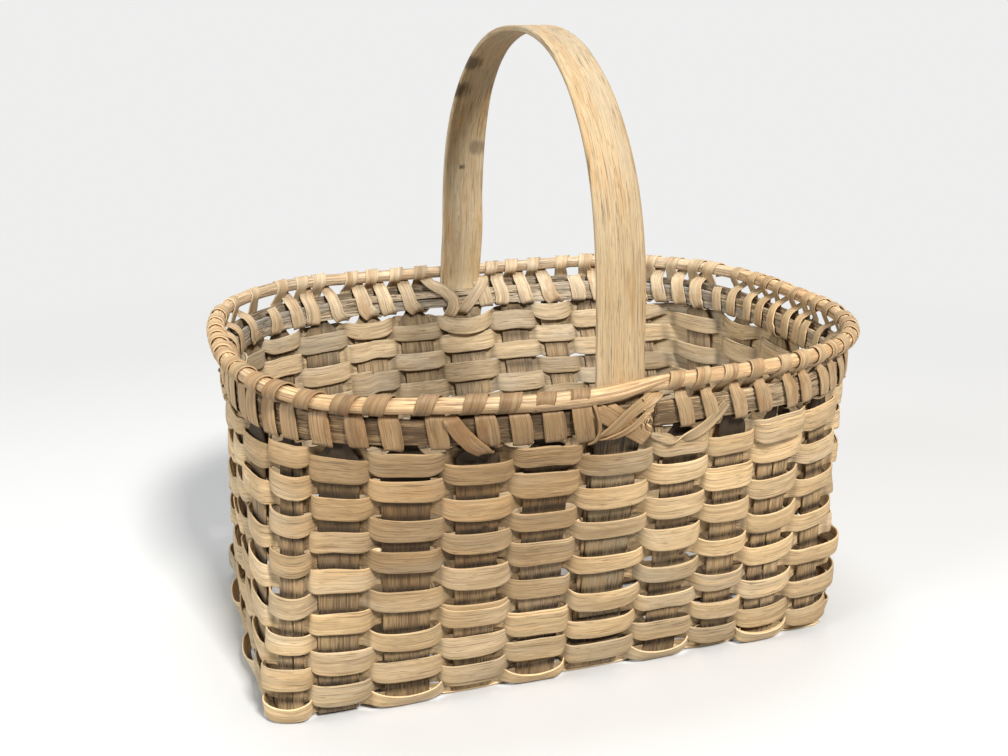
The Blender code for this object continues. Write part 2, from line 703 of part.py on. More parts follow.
def handle():
    """The handle: tail, leg, arch, leg and tail of one bent splint, thin and narrow in the tails."""
    front, front_width, front_weight = handle_side(UPRIGHTS[FRONT_HANDLE_UPRIGHT], -1)
    back, back_width, back_weight = handle_side(UPRIGHTS[BACK_HANDLE_UPRIGHT], 1)
    angle = np.linspace(math.pi, 0.0, HANDLE_SEGMENTS + 1)[1:-1]
    cosine, sine = np.cos(angle), np.sin(angle)
    y = HANDLE_HALF_SPAN * np.sign(cosine) * np.abs(cosine) ** (2 / HANDLE_POWER)
    rise = sine ** (2 / HANDLE_POWER)
    z = HANDLE_SPRING_Z + (HANDLE_APEX_Z - HANDLE_SPRING_Z) * rise
    arch = np.stack([np.zeros_like(y), y, z], -1)
    arch_width = HANDLE_WIDTH + (HANDLE_TOP_WIDTH - HANDLE_WIDTH) * rise ** 2
    points = np.concatenate([front, arch, back[::-1]])
    widths = np.concatenate([front_width, arch_width, back_width[::-1]])
    weights = np.concatenate([front_weight, np.ones(len(arch)), back_weight[::-1]])
    half = np.zeros_like(points)
    half[:, 0] = widths / 2
    thin = HANDLE_TAIL_THICK / HANDLE_THICK
    piece = strip("handle", points - half, points + half, HANDLE_THICK, "handle", weights, thin)
    edge = piece.modifiers.new("worn_edges", "BEVEL")
    edge.width = HANDLE_EDGE
    edge.segments = 1
    edge.limit_method = "ANGLE"
    edge.angle_limit = math.radians(50)
    return piece


def build_basket():
    """Make every piece of the basket."""
    clear_scene()
    for j in range(len(CROSS_FOOT_X)):
        cross_stake(j)
    for i in range(len(LONG_FOOT_Y)):
        long_stake(i)
    edge_strip("base_edge_strip_front", -EDGE_STRIP_Y)
    edge_strip("base_edge_strip_back", EDGE_STRIP_Y)
    for row in range(1, ROW_COUNT + 1):
        weaver_row(row)
    rim_band("outer_rim_band", 1, OUTER_BAND_LOW, OUTER_BAND_TOP)
    rim_band("inner_rim_band", -1, INNER_BAND_LOW, INNER_BAND_TOP)
    rim_hoop()
    back_arc = MOUTH.perimeter / 2 - HANDLE_ARC
    front_again = HANDLE_ARC + MOUTH.perimeter
    lashing("rim_lashing_right", HANDLE_ARC + LASHING_START, back_arc - LASHING_START, LASHING_TURNS_RIGHT)
    lashing("rim_lashing_left", back_arc + LASHING_START, front_again - LASHING_START, LASHING_TURNS_LEFT)
    handle_tie("handle_tie_front", HANDLE_ARC)
    handle_tie("handle_tie_back", back_arc)
    handle()


build_basket()
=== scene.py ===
"""Splint basket: the woven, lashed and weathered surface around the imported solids.

Every splint is a thin section carried along a path and across a width, worked out as whole arrays.
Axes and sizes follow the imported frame: X along the basket, Y from front to back, Z up, in metres.
"""
import math

import bpy
import numpy as np
from bpy.props import FloatProperty, FloatVectorProperty, PointerProperty
from mathutils import Matrix, Vector


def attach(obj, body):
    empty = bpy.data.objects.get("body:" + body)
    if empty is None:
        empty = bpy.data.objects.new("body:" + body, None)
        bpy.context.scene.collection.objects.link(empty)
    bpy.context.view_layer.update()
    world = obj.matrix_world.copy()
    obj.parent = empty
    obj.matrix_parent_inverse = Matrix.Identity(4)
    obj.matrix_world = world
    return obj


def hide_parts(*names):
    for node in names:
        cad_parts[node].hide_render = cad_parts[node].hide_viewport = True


bl_info = {
    "name": "Splint basket",
    "version": (1, 0, 0),
    "blender": (4, 5, 0),
    "location": "3D View > Sidebar > Basket",
    "description": "Builds a woven splint market basket with its lashed rim and bent handle",
    "category": "Object",
}

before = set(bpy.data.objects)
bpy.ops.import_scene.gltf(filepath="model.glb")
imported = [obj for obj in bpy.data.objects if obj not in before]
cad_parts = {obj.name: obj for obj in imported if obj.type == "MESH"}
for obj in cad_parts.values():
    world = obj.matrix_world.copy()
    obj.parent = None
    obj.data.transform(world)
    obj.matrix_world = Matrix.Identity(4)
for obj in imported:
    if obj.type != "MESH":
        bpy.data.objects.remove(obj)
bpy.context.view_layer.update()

MM = 0.001

# Foot, mouth and hoop of the basket, and its stock, as the solids have them
FOOT_LENGTH, FOOT_WIDTH, FOOT_POWER, FOOT_SHIFT_X = 363 * MM, 210 * MM, 16.0, -7 * MM
MOUTH_LENGTH, MOUTH_WIDTH, MOUTH_POWER = 373 * MM, 307 * MM, 2.85
BODY_TOP = 187 * MM
CROSS_FOOT_X = np.array([-177, -150, -110, -71, -32, 7, 49, 87, 118, 153]) * MM
CROSS_MOUTH_ARC = np.array([-180, -150, -115, -77, -41, -2, 37, 67, 100, 138]) * MM
CROSS_WIDTH = np.array([15, 23, 26, 23, 24, 27, 21, 18, 22, 16]) * MM
LONG_FOOT_Y = np.array([-76, -38, 0, 38, 76]) * MM
LONG_RIGHT_ARC = np.array([188, 236, 284, 332, 380]) * MM
LONG_LEFT_ARC = np.array([216, 252, 287, 322, 357]) * MM
LONG_WIDTH = 23 * MM
HANDLE_CROSS = 5
STAKE_THICK = 1.3 * MM
WEAVER_THICK = 1.1 * MM
LASHING_THICK = 0.9 * MM
SEAT_GAP = 0.45 * MM
HOOP_LENGTH, HOOP_WIDTH, HOOP_Z = 386 * MM, 316 * MM, 198 * MM
LIFT = 0.55 * MM

# Uprights are counted round from the front's left: front, right end, back, left end. Cross stake k is
# upright k on the front and upright LAST_BACK - k on the back
CROSSES, LONGS = len(CROSS_FOOT_X), len(LONG_FOOT_Y)
LAST_BACK = 2 * CROSSES + LONGS - 1

# Middle height of each row, from the lowest up, where nothing pulls it up or down
ROW_HEIGHT = np.array([7.5, 17.5, 28, 39, 50.4, 61.8, 73.4, 86.0, 98.4, 110.2, 121.4, 132.4, 143.8,
                       154.6, 162.6]) * MM
ROWS = len(ROW_HEIGHT)
# A loop hangs this far below the row's line outside the wall, and this far inside it
OUTSIDE_SAG, INSIDE_SAG = 1.2 * MM, -0.1 * MM
# A row rises by this much where it goes through the wall, so that its loops hang in shallow bows
CROSSING_RISE, TOP_ROW_RISE = 1.7 * MM, 3.0 * MM
# Middle height of the loops over the front stakes 1 to 9, in millimetres, from the lowest up
FRONT_LOOPS = {
    1: (15.8, 37.5, 63, 91, 114, 134, 156),
    2: (4.5, 26, 47.5, 74.8, 101.5, 120.5, 144.5, 162),
    3: (16.5, 36.5, 62, 87, 109.5, 131, 155),
    4: (4.5, 27.5, 50, 73.3, 99, 120.5, 143.5, 162.5),
    5: (18.5, 35.5, 57.5, 84, 108, 129, 151.8),
    6: (4.5, 26, 47.8, 69, 95, 116.7, 139.5, 158.5),
    7: (12.5, 32.5, 55.2, 82, 107.2, 130.8, 153.2),
    8: (4.0, 19.8, 43.5, 68.5, 91.2, 116.7, 142, 160.5),
    9: (12, 35, 61, 86.2, 112, 133.5, 156.2),
}


def rng(seed):
    """A random source that gives the same draws each run."""
    return np.random.default_rng(seed)


# User settings
def length_setting(name, description, default):
    """A length that a user may change, in metres."""
    return FloatProperty(name=name, description=description, default=default, unit="LENGTH", precision=4)


def colour_setting(name, description, default):
    """A colour that a user may change, in linear light."""
    return FloatVectorProperty(name=name, description=description, default=default, size=3,
                               subtype="COLOR", min=0.0, max=1.0)


class BasketSizes(bpy.types.PropertyGroup):
    """Sizes of the splints that a user would change."""

    weaver_width: length_setting("Weaver width", "Width of a weaver in the middle of a loop", 13.2 * MM)
    weaver_fill: FloatProperty(
        name="Weaver fill", description="Share of its room that a weaver fills inside the wall",
        default=0.92, min=0.5, max=1.3)
    stake_station: length_setting("Stake detail", "Distance between two sections along a stake", 1.8 * MM)
    weaver_station: length_setting("Weaver detail", "Distance between two sections along a weaver", 2 * MM)
    hoop_radius: length_setting("Hoop radius", "Radius of the round rod on the rim", 4.25 * MM)
    handle_width: length_setting("Handle width", "Width of the handle's front leg at the rim", 27.6 * MM)
    handle_back_width: length_setting("Back leg width", "Width of its back leg at the rim", 31 * MM)
    handle_top_width: length_setting("Top width", "Width of the handle at its top", 21.5 * MM)
    handle_thickness: length_setting("Handle thickness", "Thickness of the handle", 3.2 * MM)


class BasketColours(bpy.types.PropertyGroup):
    """Middle colours of the woods and of the stage."""

    stake: colour_setting("Stakes", "Weathered grey-brown of the stakes", (0.410, 0.287, 0.158))
    weaver: colour_setting("Weavers", "Dry light brown of the weavers", (0.650, 0.478, 0.270))
    rim_band: colour_setting("Rim bands", "Rough brown of the flat rim bands", (0.580, 0.430, 0.255))
    hoop: colour_setting("Hoop", "Pale whittled wood of the hoop", (0.640, 0.450, 0.255))
    lashing: colour_setting("Lashing", "Warm brown of the lashing", (0.575, 0.412, 0.228))
    handle: colour_setting("Handle", "Smooth pale wood of the handle", (0.606, 0.463, 0.272))
    floor: colour_setting("Floor", "Plain pale floor", (0.640, 0.640, 0.636))
    backdrop: colour_setting("Backdrop", "Plain pale background", (0.860, 0.860, 0.855))


# Helpers
def follow(place, knots, table, period=None):
    """Rows of a table at places between its knots."""
    return np.stack([np.interp(place, knots, column, period=period) for column in table.T], -1)


def unit(vectors):
    """Vectors scaled to length one."""
    return vectors / np.maximum(np.linalg.norm(vectors, axis=-1, keepdims=True), 1e-12)


def portion(distance, length):
    """The share of a length that a distance covers, held between 0 and 1."""
    return np.clip(distance / length, 0, 1)


def eased(share):
    """A share from 0 to 1 with a soft start and end: s s (3 - 2 s)."""
    return share * share * (3 - 2 * share)


def bell(distance, width):
    """A bell curve of height one: exp(-(d / w)^2 / 2)."""
    return np.exp(-0.5 * (distance / width) ** 2)


def short_way(difference, period):
    """A difference between two places on a round, taken the short way."""
    return np.mod(difference + period / 2, period) - period / 2


def walked(path):
    """Distance along a path to each of its points."""
    return np.concatenate([[0.0], np.cumsum(np.linalg.norm(np.diff(path, axis=0), axis=1))])


def smooth(values, sigma, closed=False):
    """Values averaged with a bell curve along the first axis; sigma is in samples."""
    reach = min(int(math.ceil(3 * sigma)), len(values) - 1)
    kernel = bell(np.arange(-reach, reach + 1), sigma)
    kernel /= kernel.sum()
    values = np.asarray(values, float)
    if closed:
        padded = np.concatenate([values[-reach:], values, values[:reach]])
    else:
        head = 2 * values[:1] - values[1:reach + 1][::-1]
        tail = 2 * values[-1:] - values[-reach - 1:-1][::-1]
        padded = np.concatenate([head, values, tail])
    if values.ndim == 1:
        return np.convolve(padded, kernel, mode="valid")
    return np.stack([np.convolve(column, kernel, mode="valid") for column in padded.T], -1)


def wander(count, step, length, seed):
    """A smooth random line of about unit size; length is how far apart its swings lie."""
    draws = rng(seed).standard_normal(int(count * step / length) + 4)
    line = np.interp(np.arange(count) * step, np.arange(len(draws)) * length, draws)
    return smooth(line, max(1.0, 0.35 * length / step))


# Lines of the basket
class Oval:
    """A superellipse |x/a|^n + |y/b|^n = 1, measured along its length from the middle of the front."""

    def __init__(self, length, width, power, shift_x=0.0):
        angle = -math.pi / 2 + np.linspace(0, 2 * math.pi, 5761)
        cosine, sine = np.cos(angle), np.sin(angle)
        self.x = shift_x + length / 2 * np.sign(cosine) * np.abs(cosine) ** (2 / power)
        self.y = width / 2 * np.sign(sine) * np.abs(sine) ** (2 / power)
        step = np.hypot(np.diff(self.x), np.diff(self.y))
        self.arc = np.concatenate([[0.0], np.cumsum(step)])
        self.perimeter = self.arc[-1]

    def at(self, arc):
        """Points at arc lengths, which may run past either end."""
        return follow(np.mod(arc, self.perimeter), self.arc, np.stack([self.x, self.y], -1))

    def arc_at_x(self, x, back):
        """Arc length where the front side, or the back side, reaches x."""
        side = self.y > 0 if back else self.y < 0
        order = np.argsort(self.x[side])
        unwrapped = self.arc[side] if back else (self.arc[side] + self.perimeter / 2) % self.perimeter
        found = np.interp(x, self.x[side][order], unwrapped[order])
        return found if back else found - self.perimeter / 2

    def arc_at_y(self, y, left):
        """Arc length where the right end, or the left end, reaches y."""
        middle = self.x.min() / 2 + self.x.max() / 2
        side = self.x < middle if left else self.x > middle
        order = np.argsort(self.y[side])
        return np.interp(y, self.y[side][order], self.arc[side][order])


FOOT = Oval(FOOT_LENGTH, FOOT_WIDTH, FOOT_POWER, FOOT_SHIFT_X)
MOUTH = Oval(MOUTH_LENGTH, MOUTH_WIDTH, MOUTH_POWER)
HOOP = Oval(HOOP_LENGTH, HOOP_WIDTH, MOUTH_POWER)


def upright_places():
    """Foot arcs, mouth arcs and widths of the thirty uprights, in order round the basket."""
    foot = list(FOOT.arc_at_x(CROSS_FOOT_X, back=False))
    foot += list(FOOT.arc_at_y(LONG_FOOT_Y, left=False))
    foot += list(FOOT.arc_at_x(CROSS_FOOT_X[::-1], back=True))
    foot += list(FOOT.arc_at_y(LONG_FOOT_Y[::-1], left=True))
    mouth = list(CROSS_MOUTH_ARC) + list(LONG_RIGHT_ARC)
    mouth += list(MOUTH.perimeter / 2 - CROSS_MOUTH_ARC[::-1])
    mouth += list(MOUTH.perimeter - LONG_LEFT_ARC[::-1])
    width = list(CROSS_WIDTH) + [LONG_WIDTH] * LONGS + list(CROSS_WIDTH[::-1]) + [LONG_WIDTH] * LONGS
    return np.array(foot), np.array(mouth), np.array(width)


FOOT_ARC, MOUTH_ARC, UPRIGHT_WIDTH = upright_places()
COUNT = len(FOOT_ARC)
HANDLE_UPRIGHTS = (HANDLE_CROSS, LAST_BACK - HANDLE_CROSS)


def round_arcs(place):
    """Foot and mouth arcs at places counted in uprights: 2.5 is half way from upright 2 to upright 3."""
    knots = np.arange(-COUNT, 3 * COUNT)
    turn = np.floor_divide(knots, COUNT)
    foot = FOOT_ARC[knots % COUNT] + turn * FOOT.perimeter
    mouth = MOUTH_ARC[knots % COUNT] + turn * MOUTH.perimeter
    return np.interp(place, knots, foot), np.interp(place, knots, mouth)


def wall_point(foot_arc, mouth_arc, z):
    """Points of the wall's middle surface: a straight line runs from each foot arc to its mouth arc."""
    share = np.asarray(z / BODY_TOP)[..., None]
    flat = FOOT.at(foot_arc) * (1 - share) + MOUTH.at(mouth_arc) * share
    return np.concatenate([flat, np.asarray(z + 0.0 * foot_arc)[..., None]], -1)


# Splints and meshes
# Distance between two sections along the hoop
HOOP_STEP = 3.0 * MM
# Each splint's grain starts at a place of its own: metres for each step of its seed, and their span
GRAIN_SHIFT, GRAIN_SPAN = 0.737, 7
# A section is at its full thickness out to the corners, as shares of the half width, and its edges are
# this share as thick
FLAT_TO, CORNER_AT, EDGE_SHARE = 0.85, 0.95, 0.35
# Strength of the flats on the rod, three and five round it, and how far the soft swell changes its size
THREE_FLATS, FIVE_FLATS, ROD_SWELL = 0.035, 0.025, 0.03


class Strip:
    """One splint as arrays: its path, its directions across and out of its face, and its sizes."""

    def __init__(self, centre, across, half_width, thickness, cup=0.0, soil=0.0, shade=0.5, seed=1,
                 relief=0.0, points=8, low_edge=0.0, high_edge=0.0):
        self.centre, self.across = centre, unit(across)
        self.out = unit(np.cross(np.gradient(centre, axis=0), self.across))
        ones = np.ones(len(centre))
        self.half_width, self.thickness = half_width * ones, thickness * ones
        self.cup, self.soil = cup * ones, soil * ones
        self.low_edge, self.high_edge = low_edge * ones, high_edge * ones
        self.shade, self.seed, self.relief, self.points = shade, seed, relief, points

    def mesh(self):
        """Grid of points: centre + across * x + out * (y + cup * (1 - (x / half width)^2)).

        The section is flat, and its four corners are softened. Relief adds long ridges to both faces.
        """
        flat = np.linspace(-FLAT_TO, FLAT_TO, self.points - 4)
        across = np.concatenate([[-1.0, -CORNER_AT], flat, [CORNER_AT, 1.0]])
        rise = np.ones(self.points)
        rise[[0, -1]] = EDGE_SHARE
        x = self.half_width[:, None] * across + self.low_edge[:, None] * (across < -0.5) \
            + self.high_edge[:, None] * (across > 0.5)
        top = self.thickness[:, None] / 2 * rise
        crown = self.cup[:, None] * (1 - across ** 2)
        if self.relief:
            ridge = rng(self.seed + 77).standard_normal(self.points)
            crown = crown + self.relief * ridge * (1 - across ** 4)
        face = np.concatenate([x, x[:, ::-1]], 1)
        depth = np.concatenate([top, -top[:, ::-1]], 1)
        lifted = np.concatenate([top + crown, (crown - top)[:, ::-1]], 1)
        grid = self.centre[:, None] + self.across[:, None] * face[..., None] \
            + self.out[:, None] * lifted[..., None]
        along = walked(self.centre) + self.seed * GRAIN_SHIFT % GRAIN_SPAN
        grain = spread(along[:, None], face, depth)
        side = np.repeat([1.0, 0.0], self.points)
        return grid, grain, spread(self.shade, self.soil[:, None], side + 0 * face)

    def faces(self):
        """Quads of the closed skin, with a row of quads over each end."""
        rows, ring = len(self.centre), 2 * self.points
        at = np.arange(rows * ring).reshape(rows, ring)
        after = np.roll(at, -1, axis=1)
        skin = np.stack([at[:-1], after[:-1], after[1:], at[1:]], -1).reshape(-1, 4)
        top, under = at[:, :self.points], at[:, self.points:][:, ::-1]
        first = np.stack([top[0, :-1], under[0, :-1], under[0, 1:], top[0, 1:]], -1)
        last = np.stack([top[-1, :-1], top[-1, 1:], under[-1, 1:], under[-1, :-1]], -1)
        return np.concatenate([skin, first, last])


def strip_between(left, right, thickness, **looks):
    """A splint from its two edges."""
    half_width = np.linalg.norm(right - left, axis=1) / 2
    return Strip((left + right) / 2, right - left, half_width, thickness, **looks)


class Rod(Strip):
    """A whittled rod, whose two half rounds take the place of a splint's two faces."""

    def __init__(self, centre, radius, seed, points=10):
        self.centre, self.radius, self.seed, self.points = centre, radius, seed, points

    def mesh(self):
        """Grid of points: centre + size * (side * cos(angle) + up * sin(angle)).

        The size is the radius times 1 + a cos(3 angle + wander) + b cos(5 angle + wander), and swells.
        """
        tangent = unit(np.gradient(self.centre, axis=0))
        side = unit(np.cross(tangent, [0, 0, 1.0]))
        up = np.cross(side, tangent)
        angle = np.linspace(0, 2 * np.pi, 2 * self.points, endpoint=False)
        turns, waves, swell = (wander(len(self.centre), HOOP_STEP, length * MM, self.seed + n)[:, None]
                               for n, length in enumerate((120, 80, 40)))
        three, five = np.cos(3 * angle + 2.0 * turns), np.cos(5 * angle + 3.0 * waves)
        size = self.radius[:, None] * (1 + THREE_FLATS * three + FIVE_FLATS * five) * (1 + ROD_SWELL * swell)
        grid = self.centre[:, None] + side[:, None] * (size * np.cos(angle))[..., None] \
            + up[:, None] * (size * np.sin(angle))[..., None]
        grain = spread(walked(self.centre)[:, None], angle * 4.0 * MM, 0.0 * size)
        return grid, grain, spread(0.6, 0.06, np.ones(size.shape))


def add_object(name, data):
    """An object in the scene that shows some data."""
    thing = bpy.data.objects.new(name, data)
    bpy.context.scene.collection.objects.link(thing)
    return thing


def spread(*parts):
    """Vectors from parts that are spread out to one grid."""
    return np.stack(np.broadcast_arrays(*parts), -1)


def signed_volume(points, faces):
    """Volume inside quads, negative where they face inwards."""
    a, b, c, d = (points[faces[:, n]] for n in range(4))
    return (np.einsum("ij,ij->i", a, np.cross(b, c)) + np.einsum("ij,ij->i", a, np.cross(c, d))).sum() / 6


def build_piece(name, strips, slot, material, *nodes):
    """One object from closed strips. It stands for the CAD nodes and rides on the basket."""
    columns, faces, start = [], [], 0
    for strip in strips:
        columns.append([values.reshape(-1, 3) for values in strip.mesh()])
        points, quads = columns[-1][0], strip.faces()
        faces.append(start + (quads[:, ::-1] if signed_volume(points, quads) < 0 else quads))
        start += len(points)
    points, grain, tone = (np.concatenate(column) for column in zip(*columns))
    faces = np.concatenate(faces)
    mesh = bpy.data.meshes.new(name)
    mesh.vertices.add(len(points))
    mesh.vertices.foreach_set("co", points.astype(np.float32).ravel())
    mesh.loops.add(faces.size)
    mesh.loops.foreach_set("vertex_index", faces.astype(np.int32).ravel())
    mesh.polygons.add(len(faces))
    mesh.polygons.foreach_set("loop_start", np.arange(0, faces.size, faces.shape[1], dtype=np.int32))
    mesh.update(calc_edges=True)
    for label, values in (("grain", grain), ("tone", tone)):
        layer = mesh.attributes.new(label, "FLOAT_VECTOR", "POINT")
        layer.data.foreach_set("vector", values.astype(np.float32).ravel())
    mesh.validate()
    mesh.shade_smooth()
    mesh.materials.append(material)
    piece = add_object(name, mesh)
    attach(piece, "root")
    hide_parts(*nodes)


# Shader maths
class Signal:
    """A socket that can be used in Python expressions; each operator adds a Math node."""

    def __init__(self, shader, socket):
        self.shader, self.socket = shader, socket

    def _maths(self, operation, *values, clamp=False):
        return self.shader.node("ShaderNodeMath", values, operation=operation, use_clamp=clamp)

    def __add__(self, other):
        return self._maths("ADD", self, other)

    def __sub__(self, other):
        return self._maths("SUBTRACT", self, other)

    def __rsub__(self, other):
        return self._maths("SUBTRACT", other, self)

    def __mul__(self, other):
        return self._maths("MULTIPLY", self, other)

    __radd__, __rmul__ = __add__, __mul__

    def clamp(self):
        """The value held between 0 and 1."""
        return self._maths("ADD", self, 0.0, clamp=True)

    def most(self, other):
        """The larger of two values."""
        return self._maths("MAXIMUM", self, other)

    def size(self):
        """The value without its sign."""
        return self._maths("ABSOLUTE", self)

    def between(self, low, high):
        """0 below low and 1 above high, with a soft step."""
        values = {"Value": self, "From Min": low, "From Max": high}
        return self.shader.node("ShaderNodeMapRange", values, "Result", interpolation_type="SMOOTHSTEP")


class Shader:
    """The node tree of a material or a world, with one method that adds any node."""

    def __init__(self, owner, surface="Principled BSDF", output="Material Output"):
        owner.use_nodes = True
        self.owner, self.tree = owner, owner.node_tree
        self.surface, self.output = self.tree.nodes[surface], self.tree.nodes[output]

    def node(self, kind, values=(), output=0, **settings):
        """A node of a type, with its settings made first, then its values or links."""
        node = self.tree.nodes.new(kind)
        for key, value in settings.items():
            setattr(node, key, value)
        for key, value in values.items() if isinstance(values, dict) else enumerate(values):
            self.feed(node.inputs[key], value)
        return Signal(self, node.outputs[output])

    def feed(self, socket, value):
        """Link a signal to a socket, or set its value."""
        if isinstance(value, Signal):
            self.tree.links.new(value.socket, socket)
        elif socket.type == "RGBA" and len(value) == 3:
            socket.default_value = (*value, 1.0)
        else:
            socket.default_value = value

    def dress(self, values):
        """Feed the surface's sockets by name."""
        for key, value in values.items():
            self.feed(self.surface.inputs[key], value)

    def parts(self, vector):
        """The three numbers of a vector."""
        split = self.node("ShaderNodeSeparateXYZ", (vector,))
        return [Signal(self, output) for output in split.socket.node.outputs]

    def attribute(self, name):
        """The three numbers of a mesh attribute."""
        return self.parts(self.node("ShaderNodeAttribute", (), "Vector", attribute_name=name))

    def place(self):
        """Where a point is, in the basket's frame."""
        return self.node("ShaderNodeTexCoord", (), "Object")

    def noise(self, vector, factors, detail=3.0, roughness=0.55):
        """Soft noise from 0 to 1, whose swings along X, Y and Z are as short as the factors are large."""
        vector = self.node("ShaderNodeVectorMath", (vector, factors), "Vector", operation="MULTIPLY")
        values = {"Vector": vector, "Scale": 1.0, "Detail": detail, "Roughness": roughness}
        return self.node("ShaderNodeTexNoise", values, "Fac", noise_dimensions="3D")

    def mix(self, share, first, second, blend="MIX"):
        """A colour between two colours. The Mix node's colours are its sockets 6 and 7, and output 2."""
        values = {0: share, 6: first, 7: second}
        return self.node("ShaderNodeMix", values, 2, data_type="RGBA", blend_type=blend)

    def times(self, colour, factor):
        """A colour multiplied by another."""
        return self.mix(1.0, colour, factor, "MULTIPLY")

    def spot(self, centre, radius, ragged):
        """1 at a point of the basket and 0 beyond a ragged edge."""
        away = self.node("ShaderNodeVectorMath", (self.place(), centre), "Value", operation="DISTANCE")
        return 1 - (away + (ragged - 0.5) * (radius * 1.6)).between(radius * 0.45, radius)

    def seen(self):
        """1 for rays that a viewer sees straight, in a mirror or through glass."""
        rays = [self.node("ShaderNodeLightPath", (), f"Is {kind} Ray")
                for kind in ("Camera", "Glossy", "Transmission")]
        return rays[0].most(rays[1]).most(rays[2])

    def blend(self, share, first, second):
        """Show one surface, and another where the share is 1."""
        mixed = self.node("ShaderNodeMixShader", (share, first, second))
        self.feed(self.output.inputs["Surface"], mixed)


def tinted(colour, factor, warmth=0.0):
    """A colour made lighter or darker, and warmer or cooler."""
    shares = (1 + warmth, 1, 1 - warmth)
    return tuple(min(part * factor * share, 1.0) for part, share in zip(colour, shares))


# The wood is darkest round this place on the left of the front, and this far from it
DARKEST_PLACE, DARKEST_REACH = (-0.10, -0.15, 0.185), 0.16


def wood(name, slot, streak, pores, fade, soil, roughness, bump, orange, lines, browning, patch,
         fine=1.0, spots=(), edge=None, behind=1.0, greying=1.0):
    """Split wood: streaks, lines and pores that run with the grain, grey fading, dirtying with painted shade,
    and dark spots.

    The grain attribute holds metres along, across and through the splint. The tone attribute holds
    the splint's own shade of colour, how dirty it is together with its painted shade, and which face a
    point is on. patch is a share and a colour of large patches, edge the half thickness inside which
    the thin edges get a painted highlight, behind how light the face behind is beside the face in front,
    and greying how far the back side is grey.
    """
    colour = tuple(getattr(bpy.context.scene.basket_colours, slot))
    shader = Shader(bpy.data.materials.new(name))
    along, across, through = shader.attribute("grain")
    shade, dirt_shade_amount, face = shader.attribute("tone")
    own_place = (along + shade * 3.1, across + shade * 0.7, through + face * 0.004)
    place = shader.node("ShaderNodeCombineXYZ", own_place, "Vector")
    broad = shader.noise(place, (9, 240 * fine, 240), detail=2.0)
    streaks = shader.noise(place, (20, 900 * fine, 500), roughness=0.65)
    fibres = shader.noise(place, (55, 3000 * fine, 1500), detail=2.0, roughness=0.65)
    threads = shader.noise(place, (42, 1500 * fine, 600), detail=1.5)
    dashes = shader.noise(place, (120, 2400 * fine, 900), detail=1.0)
    patches = shader.noise(place, (28, 60, 60))
    blotch = shader.noise(place, (11, 25, 25), detail=2.0)
    large = shader.noise(place, (24, 110 * fine, 60), detail=4.0, roughness=0.7)
    pore = dashes.between(0.58, 0.70) * streaks.between(0.40, 0.60)
    line = threads.between(0.57, 0.66) * (0.35 + patches.between(0.35, 0.60) * 0.65)

    # The wood itself: streaks, warm and faded stretches, fibres, patches, lines and pores
    tone = (streaks * 0.62 + broad * 0.38 - 0.5) * (5.5 * streak) + 0.54
    base = shader.mix(tone.clamp(), tinted(colour, 0.40, 0.16), tinted(colour, 1.45, 0.02))
    warm = broad.between(0.50, 0.70) * patches.between(0.42, 0.60) * orange
    base = shader.mix(warm, base, tinted(colour, 0.86, 0.26))
    grey = sum(colour) / 3
    base = shader.mix(blotch.between(0.42, 0.66) * fade, base, (grey * 1.02, grey * 0.97, grey * 0.80))
    base = shader.mix((fibres - 0.5).clamp() * 1.3, base, tinted(colour, 0.45))
    base = shader.mix(large.between(0.49, 0.62) * patch[0], base, patch[1])
    base = shader.mix(line * lines, base, tinted(colour, 0.30, 0.10))
    base = shader.mix(pore * pores, base, tinted(colour, 0.24, 0.08))
    # Painted highlight: the thin edges of a splint are made paler, standing in for the light that catches
    # them
    if edge:
        painted_edge_highlight = 1 - through.size().between(edge * 0.45, edge * 0.85)
        base = shader.mix(painted_edge_highlight * 0.6, base, tinted(colour, 1.40))
    if behind != 1.0:
        base = shader.mix(1 - face, base, shader.times(base, (behind,) * 3))

    # Each splint is a little lighter or darker than the next, the front's left is browner, and the
    # back is greyer
    browned = shader.spot(DARKEST_PLACE, DARKEST_REACH, blotch * 0.25 + 0.375) * browning
    base = shader.mix(browned, base, shader.times(base, (0.45, 0.375, 0.290)))
    back_side = shader.parts(shader.place())[1].between(0.01, 0.11) * greying
    base = shader.mix(back_side, base, shader.times(base, (0.90, 1.0, 1.18)))
    lift = shader.node("ShaderNodeMapRange", {"Value": shade, "To Min": 0.70, "To Max": 1.24}, "Result")
    base = shader.times(base, shader.node("ShaderNodeCombineColor", (lift, lift, lift), "Color"))

    # Dirtying, with painted shade where splints go through the wall, behind others and under the rim bands,
    # and dark spots: stains, and painted shade in holes and a hollow
    grime_and_shade = (dirt_shade_amount * (0.35 + patches * 0.8 + streaks.between(0.42, 0.62) * 0.35) * soil).clamp()
    for centre, radius, strength in spots:
        grime_and_shade = grime_and_shade.most(shader.spot(centre, radius, patches * 0.5 + streaks * 0.5) * strength)
    height = streaks * 0.6 + fibres * 0.3 + broad * 0.4 - pore * 0.9 - line * 0.5
    relief = shader.node("ShaderNodeBump", {"Strength": bump, "Distance": 0.0005, "Height": height}, "Normal")
    shader.dress({
        "Base Color": shader.mix(grime_and_shade, base, (0.044, 0.028, 0.015)),
        "Roughness": (roughness - streaks * 0.14 + pore * 0.2 + grime_and_shade * 0.12).clamp(),
        "Specular IOR Level": 0.35,
        "Normal": relief})
    return shader.owner


# Stakes
# The base's edge strips, and how far a stake clears the edges of what it crosses under the base
EDGE_STRIP_Y, EDGE_STRIP_HALF, EDGE_CLEAR = 98.8 * MM, 5 * MM, 1.5 * MM
# An upright narrows to a tongue of this half width between these heights, and ends at TONGUE_TOP
TONGUE_HALF = 5.5 * MM
TAPER_FROM, TAPER_TO, TONGUE_TOP = 163.5 * MM, 169 * MM, 183 * MM


